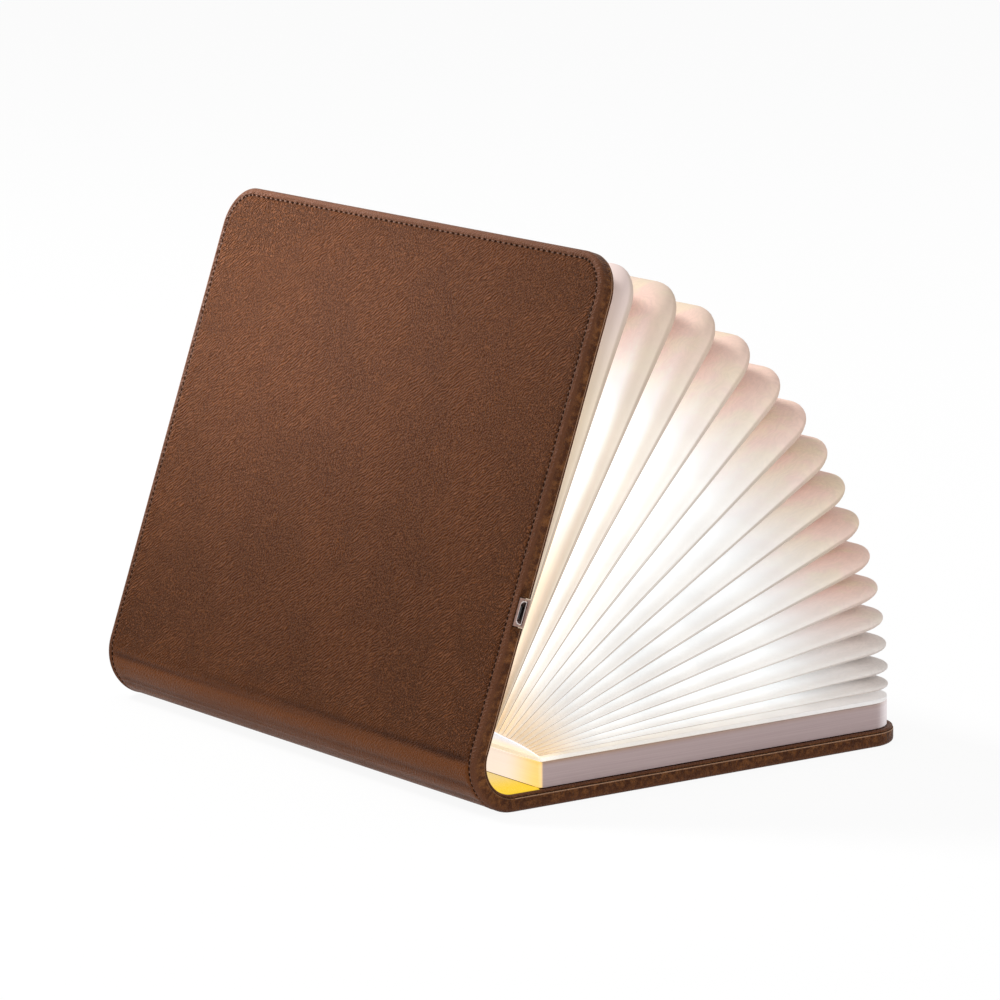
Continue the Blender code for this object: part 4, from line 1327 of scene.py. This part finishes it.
def line_bellows(side):
    start = 0 if side == "back" else 0.5
    rows, facts = [], defaultdict(list)
    for i in range(LINER_STEPS + 1):
        share = start + 0.5 * i / LINER_STEPS
        row = []
        for j in range(LINER_COLUMNS + 1):
            x = leaf_half(share) * (1 - 2 * j / LINER_COLUMNS)
            row.append(leaf_point(share, x, root_reach(share) - LINER_GAP))
            add_facts(facts, fan=share, paper_place=(x, share * 20 * MM, 0))
        rows.append(row)
    liner = sheet(f"liner_{side}", rows, liner_paper, LINER_THICKNESS, Vector((0, 1, 0)), facts)
    fans = shares_of(liner, "fan")
    set_bend(liner, side, [2 * fan if side == "back" else 2 * fan - 1 for fan in fans])
    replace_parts(liner, "page_liner")


def make_liner_paper():
    """Paper that is lit from close by: bluish white, and warmer beside the tray."""
    material, tree, shader = new_finish("liner_paper", 0.75)
    place = fact(tree, "paper_place", "Vector")
    fibres = use_group(tree, paper_fibres, Place=place)
    light = blend_colours(tree, ease(tree, fact(tree, "fan"), 0.0, 0.35), LINER_WARM, LINER_LIGHT)
    light = shade(tree, light, ease(tree, fibres.outputs["Clouds"], 0.25, 0.75, 0.94, 1.06))
    finish(tree, shader, Base_Color=PAPER_BEIGE, Emission_Color=light, Emission_Strength=0.8)
    raise_surface(tree, shader, fibres.outputs["Fibres"], 0.2 * MM, 0.4)
    return material


liner_paper = make_liner_paper()
for liner_side in ("back", "front"):
    line_bellows(liner_side)
print("liner in two halves")

# %% [markdown]
# The ribbon carries the power from the socket to the tray. It runs between the leather layers, down
# the front cover, round the spine and up into the tray, so it bends over both hinges and is made in
# two halves as well. It can only be seen at the ends of the spine, but it has to move rightly.

# %% Ribbon
RIBBON_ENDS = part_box("power_ribbon")[0].x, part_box("power_ribbon")[1].x
RIBBON_THICKNESS = 0.3 * MM
RIBBON_DEPTH = 2.85 * MM
RIBBON_REACH = 34.6 * MM
RIBBON_RISE_PLACE = 19.2 * MM
RIBBON_BEND = 1.2 * MM
RIBBON_RISE = 5 * MM
RIBBON_STEPS = 12
FILM_AMBER, FILM_DARK = (0.55, 0.25, 0.05, 1), (0.36, 0.15, 0.03, 1)


def make_ribbon_film():
    material, tree, shader = new_finish("amber_film", 0.3)
    place = fact(tree, "hide_place", "Vector")
    tracks = cloud(tree, stretched(tree, place, (1.2 / MM, 0.01 / MM, 0.01 / MM)), 1.0, 2.0)
    colour = blend_colours(tree, ease(tree, tracks, 0.4, 0.6), FILM_DARK, FILM_AMBER)
    finish(tree, shader, Base_Color=colour)
    raise_surface(tree, shader, tracks, 0.03 * MM, 0.5)
    return material


def ribbon_stations(side):
    """Points of the ribbon's outer face with the way along it and the share of the bend."""
    half = SPINE_ARC / 2
    stations = []
    if side == "front":
        for i in range(RIBBON_STEPS):
            u = RIBBON_REACH * (1 - i / RIBBON_STEPS)
            place = COVER_FRAMES["front"] @ Vector((0, u, RIBBON_DEPTH))
            stations.append((place, SPINE_RADIUS * SPINE_ARC + u, 1.0))
    for i in range(RIBBON_STEPS + 1):
        turn = half * ((2 if side == "front" else 1) - i / RIBBON_STEPS)
        place = spine_place(SPINE_RADIUS - RIBBON_DEPTH, turn, 0)
        stations.append((place, SPINE_RADIUS * turn, bend_share(turn, side)))
    if side == "back":
        corner = RIBBON_RISE_PLACE - RIBBON_BEND
        for i in range(RIBBON_STEPS // 2 + 1):
            turn = math.pi / 2 * 2 * i / RIBBON_STEPS
            u = corner + RIBBON_BEND * math.sin(turn)
            w = RIBBON_DEPTH + RIBBON_BEND * (1 - math.cos(turn))
            stations.append((Vector((0, BOOK_Y + u, w)), -u, 0.0))
        top = RIBBON_DEPTH + RIBBON_BEND + RIBBON_RISE
        stations.append((Vector((0, BOOK_Y + RIBBON_RISE_PLACE, top)), -RIBBON_RISE_PLACE, 0.0))
    return stations


def lay_ribbon(side):
    rows, facts = [], defaultdict(list)
    for place, travel, bend in ribbon_stations(side):
        rows.append([place + Vector((x, 0, 0)) for x in RIBBON_ENDS])
        for x in RIBBON_ENDS:
            add_facts(facts, hide_place=(x, travel, 0), bend=bend)
    outward = COVER_FRAMES[side].to_3x3() @ Vector((0, 0, -1))
    ribbon = sheet(f"ribbon_{side}", rows, amber_film, RIBBON_THICKNESS, outward, facts)
    set_bend(ribbon, side, shares_of(ribbon))
    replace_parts(ribbon, "power_ribbon")


amber_film = make_ribbon_film()
for ribbon_side in ("back", "front"):
    lay_ribbon(ribbon_side)
print("ribbon in two halves,", round((RIBBON_ENDS[1] - RIBBON_ENDS[0]) / MM, 1), "mm wide")

# %% [markdown]
# What the frame already shapes well keeps its own mesh and gets a finish only: the tray with its
# fine level lines, the boards, the lamps, the magnets, the battery, the socket and the flat leaves.
# Most share one recipe with values of their own: two close colours in soft patches, over a fine
# uneven surface. The tray and the leaves also glow with painted light, by where a point lies in the
# book. The tray's mauve grey is painted shade on white plastic, and so is the brown along its top.

# %% Finishes for the parts of the frame
# The tray's mauve grey is painted shade on white plastic; its fine lines are a pattern.
TRAY_SHADE_DARK, TRAY_SHADE_PINK = (0.46, 0.345, 0.345, 1), (0.51, 0.395, 0.39, 1)
# Brown along the tray's top edge: painted shade where it meets the base leaf.
TRAY_TOP_SHADE = (0.42, 0.26, 0.18, 1)
TRAY_CREAM_LIGHT, TRAY_AMBER_LIGHT = (0.80, 0.75, 0.68, 1), (0.92, 0.60, 0.12, 1)
TRAY_FORE_LIGHT = (0.95, 0.97, 1.0, 1)


def paint(material, *nodes):
    for node in nodes:
        mesh = frame["nodes"][node].data
        mesh.materials.clear()
        mesh.materials.append(material)


def plain_finish(name, light, dark, roughness, scale, metallic=0.0, depth=0.05 * MM):
    """Finish of a hidden or small part: two close colours in soft patches, and a fine surface."""
    material, tree, shader = new_finish(name, roughness, metallic)
    place = own_place(tree)
    patches = cloud(tree, place, scale, 4.0)
    colour = blend_colours(tree, ease(tree, patches, 0.35, 0.65), (*dark, 1), (*light, 1))
    uneven = ease(tree, patches, 0.3, 0.7, roughness * 0.85, roughness * 1.15)
    finish(tree, shader, Base_Color=colour, Roughness=uneven)
    raise_surface(tree, shader, cloud(tree, place, scale * 6, 3.0), depth, 0.4)
    return material


def make_tray_finish():
    """Moulded tray whose sides carry fine level lines, like the edges of pages. Its mauve grey and
    the brown along its top edge are painted shade, and its glow is painted light.
    """
    material, tree, shader = new_finish("page_tray_plastic", 0.5)
    place = own_place(tree)
    x, y, z = split_place(tree, place)
    back, fore = BOOK_Y + TRAY_BACK, BOOK_Y + TRAY_FORE
    lines = cloud(tree, stretched(tree, place, (0.02 / MM, 0.02 / MM, 2.4 / MM)), 1.0, 3.0)
    colour = blend_colours(tree, ease(tree, lines, 0.3, 0.7), TRAY_SHADE_DARK, TRAY_SHADE_PINK)
    near_top = ease(tree, z, TRAY_TOP - 1.6 * MM, TRAY_TOP)
    # Painted shade along the top edge, strongest beside the spine.
    top_shaded = times(tree, near_top, ease(tree, y, back, fore, 0.85, 0.35))
    colour = blend_colours(tree, top_shaded, colour, TRAY_TOP_SHADE)
    outer = ease(tree, maths(tree, "ABSOLUTE", x), LEAF_HALF - 20 * MM, LEAF_HALF)
    light = blend_colours(tree, outer, TRAY_CREAM_LIGHT, TRAY_AMBER_LIGHT)
    light = shade(tree, light, ease(tree, y, back + 0.4 * MM, back + 1.2 * MM, 1.0, 0.0))
    at_fore = ease(tree, y, fore - 11 * MM, fore - 5 * MM, 0.0, 0.42)
    light = blend_colours(tree, 1.0, light, shade(tree, TRAY_FORE_LIGHT, at_fore), "ADD")
    finish(tree, shader, Base_Color=colour, Emission_Color=light, Emission_Strength=0.85)
    raise_surface(tree, shader, lines, 0.06 * MM, 0.6)
    return material


FOIL_GREY, BOARD_GREEN = (0.62, 0.62, 0.64), (0.04, 0.24, 0.11)
METAL_PINK, BEZEL_BROWN = (0.62, 0.55, 0.53), (0.34, 0.21, 0.17)
paint(make_tray_finish(), "page_tray")
paint(plain_finish("grey_board", (0.40, 0.37, 0.33), (0.31, 0.28, 0.24), 0.9, 0.3 / MM),
      "back_board", "front_board")
paint(plain_finish("diffuser_white", (0.93, 0.89, 0.82), (0.86, 0.81, 0.73), 0.55, 0.1 / MM),
      "light_diffuser")
paint(plain_finish("board_green", BOARD_GREEN, (0.02, 0.15, 0.07), 0.4, 0.4 / MM),
      "led_board", "driver_board", "charge_board")
paint(plain_finish("led_yellow", (0.95, 0.84, 0.38), (0.9, 0.74, 0.25), 0.3, 1 / MM),
      *[f"led_{number}" for number in range(1, 7)])
paint(plain_finish("plated_metal", METAL_PINK, (0.58, 0.47, 0.45), 0.3, 0.8 / MM, 1.0, 0.02 * MM),
      "back_magnet_head", "back_magnet_tail", "front_magnet_head", "front_magnet_tail",
      "trigger_magnet", "usb_socket")
paint(plain_finish("bezel_metal", BEZEL_BROWN, (0.26, 0.15, 0.12), 0.4, 0.8 / MM, 0.4, 0.02 * MM),
      "port_bezel")
paint(plain_finish("black_plastic", (0.03, 0.03, 0.03), (0.012, 0.012, 0.012), 0.45, 0.8 / MM),
      "usb_tongue", "hall_switch")
paint(plain_finish("battery_foil", FOIL_GREY, (0.5, 0.5, 0.52), 0.35, 0.15 / MM, 0.8), "battery")
print("finishes given to the parts of the frame")

# %% [markdown]
# Two flat leaves hold the ends of the bellows, one on the tray and one on the front cover. They are
# the same paper and glow with it, the one on the tray more brightly beside the spine.

# %% Leaves
# Colours of the leaves' glow: painted light.
LEAF_GLOW_CREAM, LEAF_GLOW_GREY = (1.0, 0.90, 0.72, 1), (0.78, 0.76, 0.75, 1)


def make_leaf_paper(name, strength, root_strength):
    """The flat leaves glow with painted light, cream near the spine and greyer
    towards the fore-edge.
    """
    material, tree, shader = new_finish(name, 0.75)
    place = own_place(tree)
    fibres = use_group(tree, paper_fibres, Place=place)
    _, y, _ = split_place(tree, place)
    root = BOOK_Y + TRAY_BACK
    light = blend_colours(tree, ease(tree, y, root, BOOK_Y + TRAY_FORE), LEAF_GLOW_CREAM, LEAF_GLOW_GREY)
    power = ease(tree, y, root + 2 * MM, root + 12 * MM, root_strength, strength)
    power = times(tree, power, ease(tree, fibres.outputs["Clouds"], 0.25, 0.75, 0.9, 1.1))
    finish(tree, shader, Base_Color=PAPER_BEIGE, Emission_Color=shade(tree, light, power),
           Emission_Strength=1.0)
    raise_surface(tree, shader, fibres.outputs["Fibres"], 0.2 * MM, 0.4)
    return material


paint(make_leaf_paper("base_leaf_paper", 0.32, 0.5), "base_leaf")
paint(make_leaf_paper("front_leaf_paper", 0.15, 0.15), "front_leaf")
print("leaves done")

# %% Sizes
dressed_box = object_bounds()
[[list(corner) for corner in box] for box in (solid_box, dressed_box)]
print("dressed from", tuple(dressed_box[0]), "to", tuple(dressed_box[1]))
